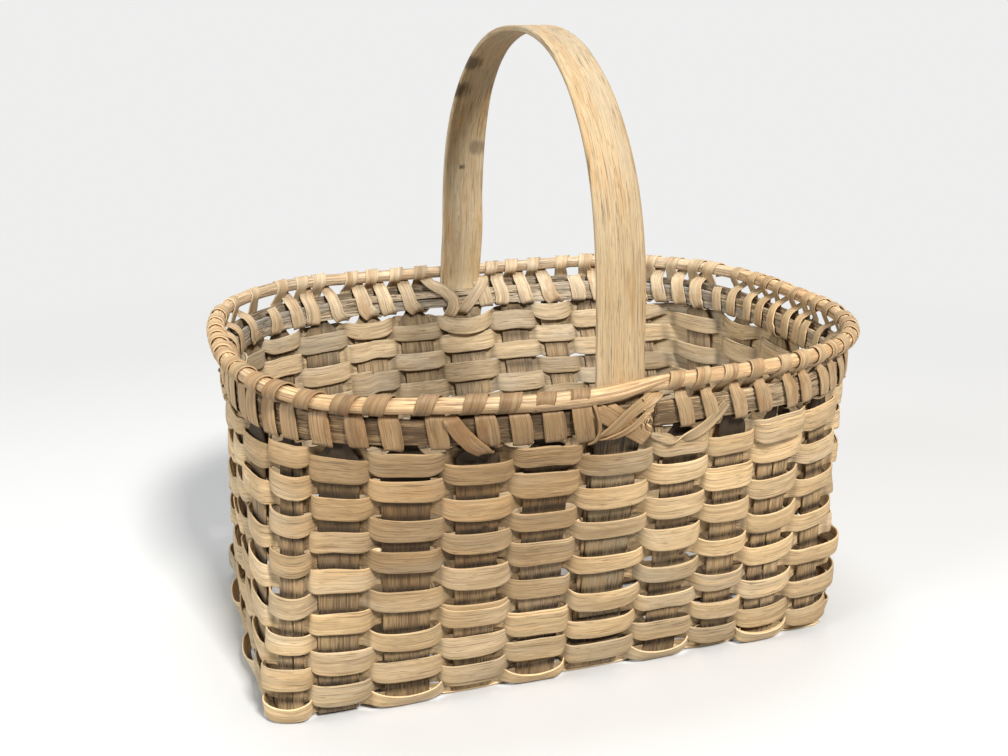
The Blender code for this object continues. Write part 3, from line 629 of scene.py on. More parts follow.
def outside(k, row):
    """Whether a row passes outside upright k."""
    return (k + row) % 2 == 1


def stake_edges(k, z):
    """Left and right edge of upright k at heights, on the wall's middle surface."""
    half = UPRIGHT_WIDTH[k] / 2
    return [wall_point(FOOT_ARC[k] + side, MOUTH_ARC[k] + side, z) for side in (-half, half)]


def row_push(k, z):
    """How far the rows push upright k in or out at heights: it gives way to each loop a little."""
    wave = np.zeros_like(z)
    for row, height in enumerate(ROW_HEIGHT, 1):
        wave += (-1.0 if outside(k, row) else 1.0) * bell(z - height, 4.2 * MM)
    return 0.22 * MM * wave


def upright_half(k, foot_height, step):
    """Edges of one upright from its foot to its top, which narrows to pass between the bands."""
    top = TAPER_FROM if k in HANDLE_UPRIGHTS else TONGUE_TOP
    z = np.linspace(foot_height, top, int((top - foot_height) / step) + 2)
    left, right = stake_edges(k, z)
    centre, across = (left + right) / 2, unit(right - left)
    half = np.linalg.norm(right - left, axis=1) / 2
    half = half + (TONGUE_HALF - half) * eased(portion(z - TAPER_FROM, TAPER_TO - TAPER_FROM))
    push = row_push(k, z)
    if k in HANDLE_UPRIGHTS:
        push = push - 0.9 * MM * portion(z, 30 * MM)
    centre = centre + unit(np.cross(across, np.gradient(centre, axis=0))) * push[:, None]
    return centre - across * half[:, None], centre + across * half[:, None]


def base_heights(stations, half, over_first, along):
    """Height of a stake along the base: it steps over one crosser and under the next."""
    middle = STAKE_THICK + SEAT_GAP / 2
    rise = (STAKE_THICK + SEAT_GAP) / 2
    knots, height = [], []
    for place, station in enumerate(stations):
        over = (place % 2 == 0) == over_first
        knots += [station - half[place], station + half[place]]
        height += [middle + rise if over else middle - rise] * 2
    return np.interp(along, knots, height) + LIFT / 2, height[0], height[-1]


def stake_strips(left, right, soil, seed, split, step, shade=None):
    """Strips of one stake from its two edges. split is (share, gaps) where the stake has torn in two."""
    left, right = smooth(left, 2.4 * MM / step), smooth(right, 2.4 * MM / step)
    across, width = unit(right - left), np.linalg.norm(right - left, axis=1)
    shade = float(rng(seed).uniform(0.25, 0.75)) if shade is None else shade
    low, high = (0.35 * MM * wander(len(left), step, 16 * MM, seed + n) for n in (1, 2))
    parts = [(0.0, 1.0, 0.0, 0.0)]
    if split is not None:
        share, gap = split
        parts = [(0.0, share, 0.0, -gap / 2), (share, 1.0, gap / 2, 0.0)]
    strips = []
    for n, (a, b, inset_a, inset_b) in enumerate(parts):
        start = left + across * (width * a + inset_a)[:, None]
        end = left + across * (width * b + inset_b)[:, None]
        cup = (0.25 * MM) * float(rng(seed + 5 + n).uniform(-0.3, 1.0))
        strips.append(strip_between(start, end, STAKE_THICK, cup=cup, soil=soil, shade=shade + 0.12 * n,
                                    seed=seed + n, relief=0.05 * MM, points=9,
                                    low_edge=-np.abs(low) if a == 0 else 0.2 * low,
                                    high_edge=np.abs(high) if b == 1 else 0.2 * high))
    return strips


def stake_soil(points, k):
    """Painted shade and dirtying on a stake: darker beside the loops over upright k and under the front's rim
    band.
    """
    front, z = points[:, 1] < 0, points[:, 2]
    # Painted shade and dirtying under the front's rim band, and beside each loop over the stake
    soil = np.where(front, 0.9, 0.15) * portion(z - 157 * MM, 7 * MM)
    for row in range(1, ROWS + 1):
        if outside(k, row):
            for edge in (-6.4 * MM, 6.4 * MM):
                soil += np.where(front, 0.75, 0.45) * bell(z - LOOP_HEIGHT[row - 1, k] - edge, 1.9 * MM)
    return np.clip(soil + 0.08, 0, 1)


def cross_stake_edges(j, step):
    """Edges of a stake that runs down the front, under the basket and up the back."""
    stations = np.concatenate([[-EDGE_STRIP_Y], LONG_FOOT_Y, [EDGE_STRIP_Y]])
    half = np.array([EDGE_STRIP_HALF] + [LONG_WIDTH / 2] * LONGS + [EDGE_STRIP_HALF]) + EDGE_CLEAR
    y = np.linspace(-104 * MM, 104 * MM, int(208 * MM / step))
    height, first, last = base_heights(stations, half, j % 2 == 1, y)
    front = upright_half(j, first, step)
    back = upright_half(LAST_BACK - j, last, step)
    start = max(front[0][0, 1], front[1][0, 1]) + step / 2
    end = min(back[0][0, 1], back[1][0, 1]) - step / 2
    y, height = y[(y > start) & (y < end)], height[(y > start) & (y < end)]
    share = (y - y[0]) / (y[-1] - y[0])
    edges = []
    for side in (0, 1):
        x = front[side][0, 0] * (1 - share) + back[1 - side][0, 0] * share
        under = np.stack([x, y, height], -1)
        edges.append(np.concatenate([front[side][::-1], under, back[1 - side]]))
    return edges


def long_stake_edges(i, step):
    """Edges of a stake that runs down the left end, under the basket and up the right end."""
    x_low, x_high = FOOT_SHIFT_X - FOOT_LENGTH / 2, FOOT_SHIFT_X + FOOT_LENGTH / 2
    x = np.linspace(x_low + step, x_high - step, int((x_high - x_low) / step))
    height, first, last = base_heights(CROSS_FOOT_X, CROSS_WIDTH / 2 + EDGE_CLEAR, i % 2 == 1, x)
    left_end = upright_half(COUNT - 1 - i, first, step)
    right_end = upright_half(CROSSES + i, last, step)
    edges = []
    for side in (1, 0):
        under = np.stack([x, np.full_like(x, right_end[side][0, 1]), height], -1)
        edges.append(np.concatenate([left_end[1 - side][::-1], under, right_end[side]]))
    return edges


# Stakes that have torn in two: share of the width at the tear, and how wide it gapes on the front or
# left wall and on the back or right wall, in millimetres
SPLITS = {"cross_stake_09": (0.50, 1.9, 0.4), "cross_stake_01": (0.58, 0.9, 0.3),
          "long_stake_3": (0.55, 1.5, 0.4), "long_stake_2": (0.38, 0.5, 1.2),
          "cross_stake_10": (0.55, 0.3, 1.6)}


def split_gap(name, left):
    """Share and gap of a torn stake: the tear gapes on its walls and closes under the basket."""
    if name not in SPLITS:
        return None
    share, first, second = SPLITS[name]
    z = left[:, 2]
    rise = portion(z - 10 * MM, 30 * MM)
    ahead = np.arange(len(z)) < len(z) / 2
    swell = 0.6 + 0.4 * np.sin(z / BODY_TOP * 9.0)
    return share, 0.1 * MM + rise * swell * np.where(ahead, first, second) * MM


# Stakes whose shade is seen in the photo, 0 the darkest and 1 the lightest. The darkest tone, on
# cross_stake_02, is painted shade: it stands for the shade between the loops over it.
STAKE_SHADES = {"cross_stake_02": 0.05, "cross_stake_03": 0.30, "cross_stake_04": 0.85,
                "cross_stake_06": 0.60, "cross_stake_07": 0.40, "cross_stake_08": 0.60}
# Painted shade of small holes in the stakes: place, radius and strength
STAKE_HOLES = (((-0.0705, -0.1338, 0.1179), 2.6 * MM, 0.95), ((0.0516, -0.1254, 0.0801), 3.0 * MM, 0.85))


# Weavers
def row_lines(source):
    """Height of every row at every upright: on the front it follows the loops seen there."""
    line = np.repeat(ROW_HEIGHT[:, None], COUNT, axis=1) + source.normal(0, HEIGHT_SPREAD, (ROWS, COUNT))
    seen = {}
    for k, loops in FRONT_LOOPS.items():
        rows = [row for row in range(1, ROWS + 1) if outside(k, row)]
        seen.update({(row, k): z * MM + OUTSIDE_SAG for row, z in zip(rows, loops)})
    for (row, k), z in seen.items():
        line[row - 1, k] = z
    for row in range(1, ROWS + 1):
        for k in FRONT_LOOPS:
            if (row, k) not in seen:
                beside = [seen[row, n] for n in (k - 1, k + 1) if (row, n) in seen]
                level = np.mean(beside + [ROW_HEIGHT[row - 1]] * (2 - len(beside)))
                over_under = [seen.get((row - 1, k)), seen.get((row + 1, k))]
                if None not in over_under:
                    level = 0.35 * level + 0.65 * np.mean(over_under)
                line[row - 1, k] = level
    return line


# How much rows differ in height and reach, and in tilt by degrees
HEIGHT_SPREAD, REACH_SPREAD, TILT_SPREAD = 0.9 * MM, 0.9 * MM, 5.0
# How far a row stands off a stake outside and inside the wall, and how much further the top row does
REACH_OUTSIDE, REACH_INSIDE, TOP_REACH = 0.8 * MM, 0.7 * MM, 1.2 * MM
# The lowest row: its height outside and inside, how far its loops stand off and how they lean out
LOWEST_OUTSIDE, LOWEST_INSIDE, LOWEST_REACH, LOWEST_LEAN = 7.1 * MM, 10.2 * MM, 3.4 * MM, math.radians(26)
# The top row sags inside by a draw between two sizes and a fixed part. Behind the handle's back leg
# it hangs lower still and stands off further
TOP_SAG_DRAW, TOP_SAG, LEG_SAG, LEG_REACH = (0.5, 3.0), 2.2 * MM, 3.5 * MM, 3.0 * MM


def loop_tables():
    """Line, height, reach and tilt of every row at every upright."""
    source = rng(20)
    line = row_lines(source)
    height = line.copy()
    reach = np.abs(source.normal(0, REACH_SPREAD, line.shape))
    tilt = np.radians(source.normal(0, TILT_SPREAD, line.shape))
    rows, uprights = np.mgrid[1:ROWS + 1, 0:COUNT]
    loops = outside(uprights, rows)
    height -= np.where(loops, OUTSIDE_SAG, INSIDE_SAG)
    reach = reach + np.where(loops, REACH_OUTSIDE, REACH_INSIDE)
    height[0] = np.where(loops[0], LOWEST_OUTSIDE, LOWEST_INSIDE)
    reach[0, loops[0]] = LOWEST_REACH
    tilt[0, loops[0]] = LOWEST_LEAN
    sag = source.uniform(*TOP_SAG_DRAW, line.shape)[-1] * MM + TOP_SAG
    height[-1] -= np.where(loops[-1], 0.0, sag)
    reach[-1] += TOP_REACH
    height[-1, HANDLE_UPRIGHTS[1]] -= LEG_SAG
    reach[-1, HANDLE_UPRIGHTS[1]] += LEG_REACH
    return line, height, reach, tilt


LINE_HEIGHT, LOOP_HEIGHT, LOOP_REACH, LOOP_TILT = loop_tables()
# Loops that stand off the corners: row, the upright before the corner, and how far they stand off
CORNER_LOOPS = ((6, 9, 6.5 * MM), (4, 9, 5.0 * MM), (3, 29, 5.0 * MM), (5, 29, 2.5 * MM), (9, 14, 3.0 * MM),
                (2, 24, 4.0 * MM), (7, 24, 3.0 * MM), (1, 29, 3.0 * MM))
# How much longer a row runs outside than inside: on the back wall it is the inside that is longer
LONGER_OUTSIDE, LONGER_ON_BACK = 0.40, -0.35
# How sharply a row turns through the wall, by the share of a gap that the uprights' halves take up
GAP_SHARES, SHARPNESS = [0.20, 0.28, 0.34, 0.40, 0.46], [1.2, 2.0, 3.0, 4.4, 7.0]
# Narrower rows, as a share of a weaver's width, and the least and most room for a row inside the wall
ROW_WIDTHS = {1: 0.84, ROWS: 0.88}
LEAST_ROOM, MOST_ROOM = 8.5 * MM, 13.5 * MM
# Gap between a weaver and a stake, how far the handle's legs push it further, and the share of its
# swing at which a weaver is clear of the stake's face
WEAVER_GAP, LEG_PUSH, CLEAR_SWING = 0.15 * MM, 0.95 * MM, 0.80


def pass_curve(place, row):
    """Swing of a row between outside, +1, and inside, -1, at places counted in uprights.

    Between two uprights it is s = tanh(b cos(pi t)) / tanh(b), with b larger where the gap is narrow,
    plus a (1 - s s), which makes the loops longer on the face that the light reaches.
    """
    k = np.floor(place).astype(int)
    t = place - k
    here, after = k % COUNT, (k + 1) % COUNT
    step_foot = np.mod(FOOT_ARC[after] - FOOT_ARC[here], FOOT.perimeter)
    step_mouth = np.mod(MOUTH_ARC[after] - MOUTH_ARC[here], MOUTH.perimeter)
    share = ROW_HEIGHT[row - 1] / BODY_TOP
    step = step_foot * (1 - share) + step_mouth * share
    first, second = UPRIGHT_WIDTH[here] / 2, UPRIGHT_WIDTH[after] / 2
    middle = np.clip(0.5 + (first - second) / (2 * step), 0.25, 0.75)
    warped = np.where(t < middle, 0.5 * t / middle, 0.5 + 0.5 * (t - middle) / (1 - middle))
    edge = np.clip((first + second) / (2 * step), 0.1, GAP_SHARES[-1])
    sharp = np.interp(edge, GAP_SHARES, SHARPNESS)
    swing = np.tanh(sharp * np.cos(np.pi * warped)) / np.tanh(sharp)
    swing = np.where(outside(k, row), 1.0, -1.0) * swing
    on_back = (here >= CROSSES + LONGS) & (here < LAST_BACK)
    longer = np.where(on_back, LONGER_ON_BACK, LONGER_OUTSIDE)
    return swing + longer * (1 - swing * swing), here, after, warped


def corner_stand(place, row):
    """How far a row stands off the wall's line at its loose corner loops."""
    stand = np.zeros_like(place)
    for loop_row, before, reach in CORNER_LOOPS:
        if loop_row == row:
            stand += reach * bell(short_way(place - before - 0.5, COUNT), 0.24)
    return stand


def weaver_path(row, place, sizes, seed):
    """Centre line, across direction, width and swing of a weaver at places counted in uprights.

    The centre stands off the wall by swing * (seat + reach), and rises by rise * (1 - swing * swing).
    The width shrinks from the loop's to the waist where the splint goes through the wall, so that the
    rows just meet there.
    """
    station = sizes.weaver_station
    swing, here, after, warped = pass_curve(place, row)
    ease = eased(warped)

    def between(values):
        return values[here] * (1 - ease) + values[after] * ease

    pile = np.full(COUNT, STAKE_THICK / 2 + WEAVER_THICK / 2 + WEAVER_GAP)
    pile[list(HANDLE_UPRIGHTS)] += LEG_PUSH
    offset = swing * (between(pile) / CLEAR_SWING + between(LOOP_REACH[row - 1])) + corner_stand(place, row)
    rise = TOP_ROW_RISE if row == ROWS else CROSSING_RISE
    z = between(LOOP_HEIGHT[row - 1]) + rise * (1 - swing * swing)
    z = smooth(z + 0.5 * MM * wander(len(place), station, 70 * MM, seed + 3), 3.0 * MM / station)
    foot_arc, mouth_arc = round_arcs(place)
    middle = wall_point(foot_arc, mouth_arc, z)
    up = unit(wall_point(foot_arc, mouth_arc, z + 5 * MM) - middle)
    tangent = unit(np.gradient(middle, axis=0))
    out = unit(smooth(unit(np.cross(tangent, up)), 5 * MM / station))
    centre = smooth(middle + out * offset[:, None], 1.3 * MM / station)
    out = unit(np.cross(unit(np.gradient(centre, axis=0)), up))
    lean = between(LOOP_TILT[row - 1]) * np.clip(swing, 0, 1)
    across = up * np.cos(lean)[:, None] + out * np.sin(lean)[:, None]
    wide = sizes.weaver_width * (1 + 0.10 * wander(len(place), station, 50 * MM, seed + 4))
    wide = wide * ROW_WIDTHS.get(row, 1.0)
    above, level, below = LINE_HEIGHT[[min(row, ROWS - 1), row - 1, max(row - 2, 0)]]
    room = above - below
    if 1 < row < ROWS:
        room = room / 4 + np.maximum(above - level, level - below) / 2
    waist = np.clip((room[here] + room[after]) / 2, LEAST_ROOM, MOST_ROOM) * sizes.weaver_fill
    return centre, across, waist + (wide - waist) * np.abs(swing) ** 0.8, swing


def weaver_strip(row, place, sizes, seed):
    """One weaver splint."""
    centre, across, width, swing = weaver_path(row, place, sizes, seed)
    source = rng(seed)
    thick = WEAVER_THICK * source.uniform(0.85, 1.1)
    cup = np.sign(swing) * np.abs(swing) ** 0.5 * source.uniform(0.05, 0.50) * MM
    low, high = (0.20 * MM * np.abs(wander(len(place), sizes.weaver_station, 25 * MM, seed + n))
                 for n in (5, 6))
    # Painted shade where the weaver passes through the wall and behind its neighbours, over a little dirtying
    # everywhere
    soil = 0.05 + 0.55 * np.clip(1 - np.abs(swing) * 2.2, 0, 1)
    return Strip(centre, across, width / 2, thick, cup=cup, soil=soil, seed=seed,
                 shade=float(source.uniform(0.1, 0.95)), relief=0.05 * MM, points=9,
                 low_edge=-low, high_edge=high)


# Uprights behind which each row's splints start, as pieced by the weaver
ROW_LAPS = {1: (7, 19), 2: (2, 18), 3: (13, 23), 4: (6, 22), 5: (3, 19), 6: (2, 26), 7: (5, 17), 8: (14, 24),
            9: (3, 7), 10: (12, 26), 11: (9, 21), 12: (6, 28), 13: (21,), 14: (16, 8), 15: (7, 25)}
# A lap runs on for this many uprights, and its layers lie this far apart
LAP, LAP_LAYER = 2, 1.3 * MM


def window(place, middle, half):
    """1 near a place and 0 away from it, with soft sides."""
    return eased(np.clip((half - np.abs(place - middle)) / 0.25 + 0.5, 0, 1))


def row_strips(row, sizes):
    """All splints of one row. Each end is tucked under the next splint, behind a stake."""
    starts = sorted(ROW_LAPS[row])
    share = ROW_HEIGHT[row - 1] / BODY_TOP
    strips = []
    for n, start in enumerate(starts):
        end = starts[(n + 1) % len(starts)]
        end += COUNT if end <= start else 0
        seed = 1000 * row + 50 * n
        first, last = start + 0.05, end + LAP - 0.05
        foot, mouth = (np.diff(arcs)[0] for arcs in round_arcs([first, last]))
        count = int((foot * (1 - share) + mouth * share) / sizes.weaver_station) + 2
        strip = weaver_strip(row, np.linspace(first, last, count), sizes, seed)
        place = np.linspace(start, end + LAP, count)
        shift = -window(place, start + 2, 0.5) - window(place, end, 0.5) + window(place, end + 1, 0.5)
        slip = rng(seed + 7).uniform(-2.6, 2.6) * MM
        slip = (abs(slip) if row == 1 else slip) * window(place, end + 1, 0.9)
        strip.centre = strip.centre + strip.out * (shift * LAP_LAYER)[:, None] + strip.across * slip[:, None]
        strips.append(strip)
    return strips


def edge_strip(y):
    """The strip along the base's front or back edge, which goes over and under the cross stakes."""
    x = np.linspace(-136 * MM, 168 * MM, 220)
    height, _, _ = base_heights(CROSS_FOOT_X[2:], CROSS_WIDTH[2:] / 2 + EDGE_CLEAR, True, x)
    centre = smooth(np.stack([x, np.full_like(x, y), height], -1), 1.5)
    half = EDGE_STRIP_HALF * np.clip(np.minimum(x - x[0], x[-1] - x) / (6 * MM), 0.15, 1) ** 0.5
    # Its tone is the lightest: partly its own pale wood and partly painted light, for the light that falls on
    # it from the front
    return Strip(centre, np.tile([0.0, 1.0, 0.0], (len(x), 1)), half, WEAVER_THICK, shade=1.0, seed=640)


# Rim
# Painted shade of a dark hollow in the outer band under the frayed tie: place, radius and strength
BAND_SPOTS = (((0.012, -0.160, 0.181), 7 * MM, 0.9),)
# How far the hoop has sunk, in millimetres, at arcs of the mouth
HOOP_SAG = ((22, 0), (470, 0), (520, -1.8), (560, -2), (620, -2), (660, -1.4), (690, 0), (920, 0),
            (945, -1), (965, -2.6), (985, -3.8), (1010, -3.2), (1040, -2.7), (1065, -3.3), (1095, -5),
            (1119, -4.7), (1136, -4))


class Rim:
    """The line of the rim: for each arc of the mouth, the wall's middle and slope, and the hoop above."""

    def __init__(self):
        foot_arc, self.arc = round_arcs(np.linspace(0, COUNT, 6001)[:-1])
        low, self.high = (wall_point(foot_arc, self.arc, np.full_like(foot_arc, z)) for z in (0.0, BODY_TOP))
        tangent = unit(np.roll(self.high, -1, 0) - np.roll(self.high, 1, 0))
        self.lean = unit(smooth(unit(self.high - low), 60, closed=True))
        self.out = unit(smooth(unit(np.cross(tangent, self.lean)), 25, closed=True))

    def _follow(self, arc, table):
        return follow(arc, self.arc, table, MOUTH.perimeter)

    def at(self, arc, out, z):
        """Points at arcs, distances out of the wall's middle, and heights."""
        arc, out, z = np.broadcast_arrays(*(np.asarray(v, float) for v in (arc, out, z)))
        high, lean, normal = (self._follow(arc, table) for table in (self.high, self.lean, self.out))
        climb = (z - BODY_TOP) / lean[..., 2]
        point = high + lean * climb[..., None] + unit(normal * [1, 1, 0]) * out[..., None]
        return np.concatenate([point[..., :2], z[..., None]], -1)

    def hoop(self, arc):
        """Middle of the hoop over an arc of the mouth, with the sag that it has taken."""
        flat = HOOP.at(np.asarray(arc) * HOOP.perimeter / MOUTH.perimeter)
        knots, sag = np.array(HOOP_SAG).T * MM
        height = HOOP_Z + np.interp(arc, knots, sag, period=MOUTH.perimeter)
        return np.concatenate([flat, height[..., None]], -1)

    def hoop_out(self, arc):
        """How far outside the wall's line the hoop's middle lies."""
        flat = unit(self._follow(arc, self.out) * [1, 1, 0])
        return np.einsum("...i,...i->...", self.hoop(arc) - self.at(arc, 0.0, HOOP_Z), flat)


RIM = Rim()
HANDLE_ARC = CROSS_MOUTH_ARC[HANDLE_CROSS]
BACK_ARC = MOUTH.perimeter / 2 - HANDLE_ARC
BAND_BUTT_ARC, BAND_THICK, BAND_STEP = 16.5 * MM, 3.0 * MM, 2.0 * MM
# A band's middle lies this far off the wall's middle on the stakes, and this far beside the handle
BAND_SEAT, BAND_HANDLE_SEAT = STAKE_THICK / 2 + 2.0 * MM, 3.6 * MM


def band_offset(arc, side):
    """Middle of a rim band: it lies on the stakes, and steps out round the handle."""
    gap = np.minimum(*(np.abs(short_way(arc - middle, MOUTH.perimeter)) for middle in (HANDLE_ARC, BACK_ARC)))
    near = eased(portion(26 * MM - gap, 11 * MM))
    return side * (BAND_SEAT + (BAND_HANDLE_SEAT - BAND_SEAT) * near)


def band_strips(side, low, top, seed, shade, split_from=None):
    """A flat rim band. Where split_from is given the band has cracked along its length behind the handle."""
    arc = np.arange(BAND_BUTT_ARC, BAND_BUTT_ARC + MOUTH.perimeter - 1.0 * MM, BAND_STEP)
    low_line, top_line = (line + 0.5 * MM * wander(len(arc), BAND_STEP, 35 * MM, seed + n)
                          for n, line in ((1, low), (2, top)))
    parts = [(low_line, top_line)]
    if split_from is not None:
        middle, reach = split_from
        gape = 1.3 * MM * np.sqrt(1 - portion(np.abs(arc - middle), reach)) - 0.25 * MM
        crack = low_line * 0.45 + top_line * 0.55 + 0.3 * MM * wander(len(arc), BAND_STEP, 30 * MM, seed + 3)
        parts = [(low_line, crack - gape / 2), (crack + gape / 2, top_line)]
    offset = band_offset(arc, side)
    soil = 0.06 + 0.30 * portion(arc - BAND_BUTT_ARC - 50 * MM, 60 * MM)
    strips = []
    for n, (a, b) in enumerate(parts):
        thick = BAND_THICK * (1 + 0.07 * wander(len(arc), BAND_STEP, 22 * MM, seed + 4 + n))
        strips.append(strip_between(RIM.at(arc, offset, a), RIM.at(arc, offset, b), thick,
                                    cup=side * 0.35 * MM, soil=soil, shade=shade + 0.1 * n, seed=seed + n,
                                    relief=0.16 * MM, points=12))
    return strips


SCARF_FROM, SCARF_TO = HANDLE_ARC - 20 * MM, HANDLE_ARC + 26 * MM


def hoop_rod(radius):
    """The hoop: its first end tapers off behind the last one."""
    last, length = SCARF_TO + MOUTH.perimeter, SCARF_TO - SCARF_FROM
    arc = np.arange(SCARF_FROM, last, HOOP_STEP)
    centre = RIM.hoop(arc)
    start, end = (eased(1 - portion(gap, length)) for gap in (arc - SCARF_FROM, last - arc))
    outward = unit(centre - RIM.at(arc, -20 * MM, HOOP_Z)) * [1, 1, 0]
    centre = centre + outward * (end * 1.2 * MM - start * 5.0 * MM)[:, None]
    centre[:, 2] += end * 2.6 * MM - start * 0.5 * MM + 0.4 * MM * wander(len(arc), HOOP_STEP, 70 * MM, 31)
    taper = np.minimum(portion(arc - SCARF_FROM, length), portion(last - arc, 0.6 * length))
    return Rod(smooth(centre, 2), radius * (0.35 + 0.65 * taper ** 0.7), 90)


# Lashing
# Arcs of the mouth, in millimetres, where the lashing goes over the hoop
RIGHT_WRAPS = (28.5, 44, 61, 77.5, 97, 110, 125, 138, 152, 166, 180, 194, 208, 229, 246, 258, 274, 294,
               309, 325, 343.5, 369, 382, 400, 417, 434, 451, 467, 486, 509, 527, 543)
LEFT_WRAPS = (600, 619, 638, 654, 680, 694, 712, 738, 764, 790, 810, 828, 845, 860, 878, 893, 912, 925,
              943, 958, 977, 997, 1013.5, 1037, 1060.5, 1078, 1096, 1114)
# The lashing on the right, on the far side and on the left: the arc where it ends, its width, the share
# of that at the band's top, its slant and its range of shades, with lengths in millimetres
LASHING_PARTS = ((380, 8.6, 0.82, 6.0, (0.25, 0.60)), (800, 11.0, 0.96, 3.5, (0.75, 0.95)),
                 (1120, 11.6, 0.92, 3.0, (0.25, 0.60)))
# A splint of the lashing makes this many turns
SPLINT_TURNS = 7
OUTER_FACE, INNER_FACE = 5.05 * MM, -5.0 * MM
# Room that a strap leaves beside an upright's tongue and beside the handle's middle
TONGUE_ROOM, HANDLE_ROOM = TONGUE_HALF + 4.3 * MM, 19 * MM
# The turn over the hoop: its angles, and how far it moves along the rim, before and after the top
WRAP_ANGLES, WRAP_MOVE = np.radians(np.linspace(-60, 212, 12)), np.linspace(-4.2, 3.4, 12) * MM
# Share of the full width where a strap passes between uprights, and on and beside the hoop's top
NARROW, HOOP_SHARE, BESIDE_SHARE = 0.70, 0.88, 0.78


def between_uprights(arc):
    """The arc nearest to the one wanted where a strap can pass between two uprights."""
    room = np.full(COUNT, TONGUE_ROOM)
    room[list(HANDLE_UPRIGHTS)] = HANDLE_ROOM
    choices = []
    for k in range(COUNT):
        after = (k + 1) % COUNT
        step = (MOUTH_ARC[after] - MOUTH_ARC[k]) % MOUTH.perimeter
        low, high = MOUTH_ARC[k] + room[k], MOUTH_ARC[k] + step - room[after]
        if low <= high:
            choices += [min(max(arc, low + lap), high + lap) for lap in (0.0, MOUTH.perimeter)]
    return min(choices, key=lambda place: abs(place - arc))


def lashing_route(wraps, radius, seed, neck, slant):
    """Knots (arc, distance out, height, share of full width) of a figure of eight round hoop and bands.

    Each turn wraps the hoop from outside to inside, crosses out under it, runs down the outer band,
    passes inside under both bands, climbs the inner band and crosses out again. neck is the share of
    the width at the band's top, and slant how far the strap moves on down the band.
    """
    source = rng(seed)
    knots = []
    wraps = np.array(wraps) * MM
    for place, step in zip(wraps, np.append(np.diff(wraps), wraps[-1] - wraps[-2])):
        ring = radius + LASHING_THICK / 2 + source.uniform(0.2, 0.85) * MM
        wrap = place + WRAP_MOVE
        share = np.where((WRAP_ANGLES > -0.3) & (WRAP_ANGLES < 3.0), HOOP_SHARE, BESIDE_SHARE)
        knots += list(zip(wrap, RIM.hoop_out(wrap) + ring * np.cos(WRAP_ANGLES),
                          RIM.hoop(wrap)[:, 2] + ring * np.sin(WRAP_ANGLES), share))
        down = place + 4.5 * MM + source.normal(0, 0.6 * MM)
        under = between_uprights(down + 2 * MM + slant / 2)
        rise = max(place + 0.72 * step, under - 2 * MM)
        bulge = source.uniform(0.3, 1.3) * MM
        hang = source.uniform(0.0, 1.6) * MM
        knots += [
            (down - 0.4 * slant, OUTER_FACE + 0.2 * MM, 187.8 * MM, neck),
            (down, OUTER_FACE + bulge, 183 * MM, 1.0),
            (down + 0.3 * slant, OUTER_FACE + bulge, 177 * MM, 1.0),
            (down + 0.6 * slant, OUTER_FACE + 0.2 * MM, 171.6 * MM - hang, 0.5 + neck / 2),
            (down * 0.8 + under * 0.2, OUTER_FACE - 1.6 * MM, 170.9 * MM - hang, 0.85),
            (under, 0.0, 170.8 * MM, NARROW),
            (under * 0.6 + rise * 0.4, INNER_FACE + 1.4 * MM, 169.2 * MM, 0.75),
            (under * 0.4 + rise * 0.6, INNER_FACE - 0.2 * MM, 170.5 * MM, 0.95),
            (rise - 0.5 * MM, INNER_FACE - bulge, 175 * MM, 1.0),
            (rise, INNER_FACE - bulge, 180 * MM, 1.0),
            (rise + 1.0 * MM, INNER_FACE + 0.4 * MM, 184.6 * MM, 0.9),
            (rise + 1.5 * MM, INNER_FACE + 3.0 * MM, 188.0 * MM, neck)]
    return np.array(knots)


def route_strip(knots, width, seed, thickness=LASHING_THICK, sharp=1.1 * MM, shade=None,
                cup=0.22 * MM, soil=0.12, under=0.0):
    """A strip along knots of arc, distance out, height and width share; its width lies along the rim.

    under is the extra painted shade on what passes below the rim bands.
    """
    step = 0.8 * MM
    jumps = np.sqrt(np.diff(knots[:, 1]) ** 2 + np.diff(knots[:, 2]) ** 2 + 0.5 * np.diff(knots[:, 0]) ** 2)
    reached = np.concatenate([[0.0], np.cumsum(np.maximum(jumps, 0.2 * MM))])
    at = np.arange(0.0, reached[-1], step)
    arc, out, z, share = smooth(follow(at, reached, knots), sharp / step).T
    half = width / 2 * share
    low, high = RIM.at(arc - half, out, z), RIM.at(arc + half, out, z)
    centre = (low + high) / 2
    tangent = unit(np.gradient(centre, axis=0))
    across = unit(high - low)
    across = unit(across - tangent * np.einsum("ij,ij->i", across, tangent)[:, None])
    vary = 1 + 0.07 * wander(len(at), step, 30 * MM, seed + 1)
    # Painted shade where the strap narrows under the hoop and between the uprights, and below the rim bands;
    # the rest is its dirtying
    dirt_shade_amount = soil + portion(1.0 - share, 0.3) * 0.30 + under * portion(172.0 * MM - z, 1.5 * MM)
    return Strip(centre, across, half * vary, thickness, cup=cup * portion(188 * MM - z, 4 * MM), soil=dirt_shade_amount,
                 shade=float(rng(seed).uniform(0.3, 0.8)) if shade is None else shade, seed=seed,
                 relief=0.025 * MM, points=9)


def lashing_strips(wraps, sizes, seed):
    """One side's lashing, pieced from splints whose ends tuck under the bands."""
    strips = []
    for n, start in enumerate(range(0, len(wraps), SPLINT_TURNS)):
        part = wraps[start:start + SPLINT_TURNS]
        if len(part) > 1:
            middle = (part[0] + part[-1]) / 2
            _, wide, neck, slant, shades = next(row for row in LASHING_PARTS if middle < row[0])
            knots = lashing_route(part, sizes.hoop_radius, seed + 3 * n, neck, slant * MM)
            shade = rng(seed + 3 * n).uniform(*shades)
            strips.append(route_strip(knots, wide * MM, seed + 3 * n, shade=shade, under=0.8))
    return strips


# The units of a route: arc, distance out and height in millimetres, and the share of full width
ROUTE_UNITS = np.array([MM, MM, MM, 1.0])
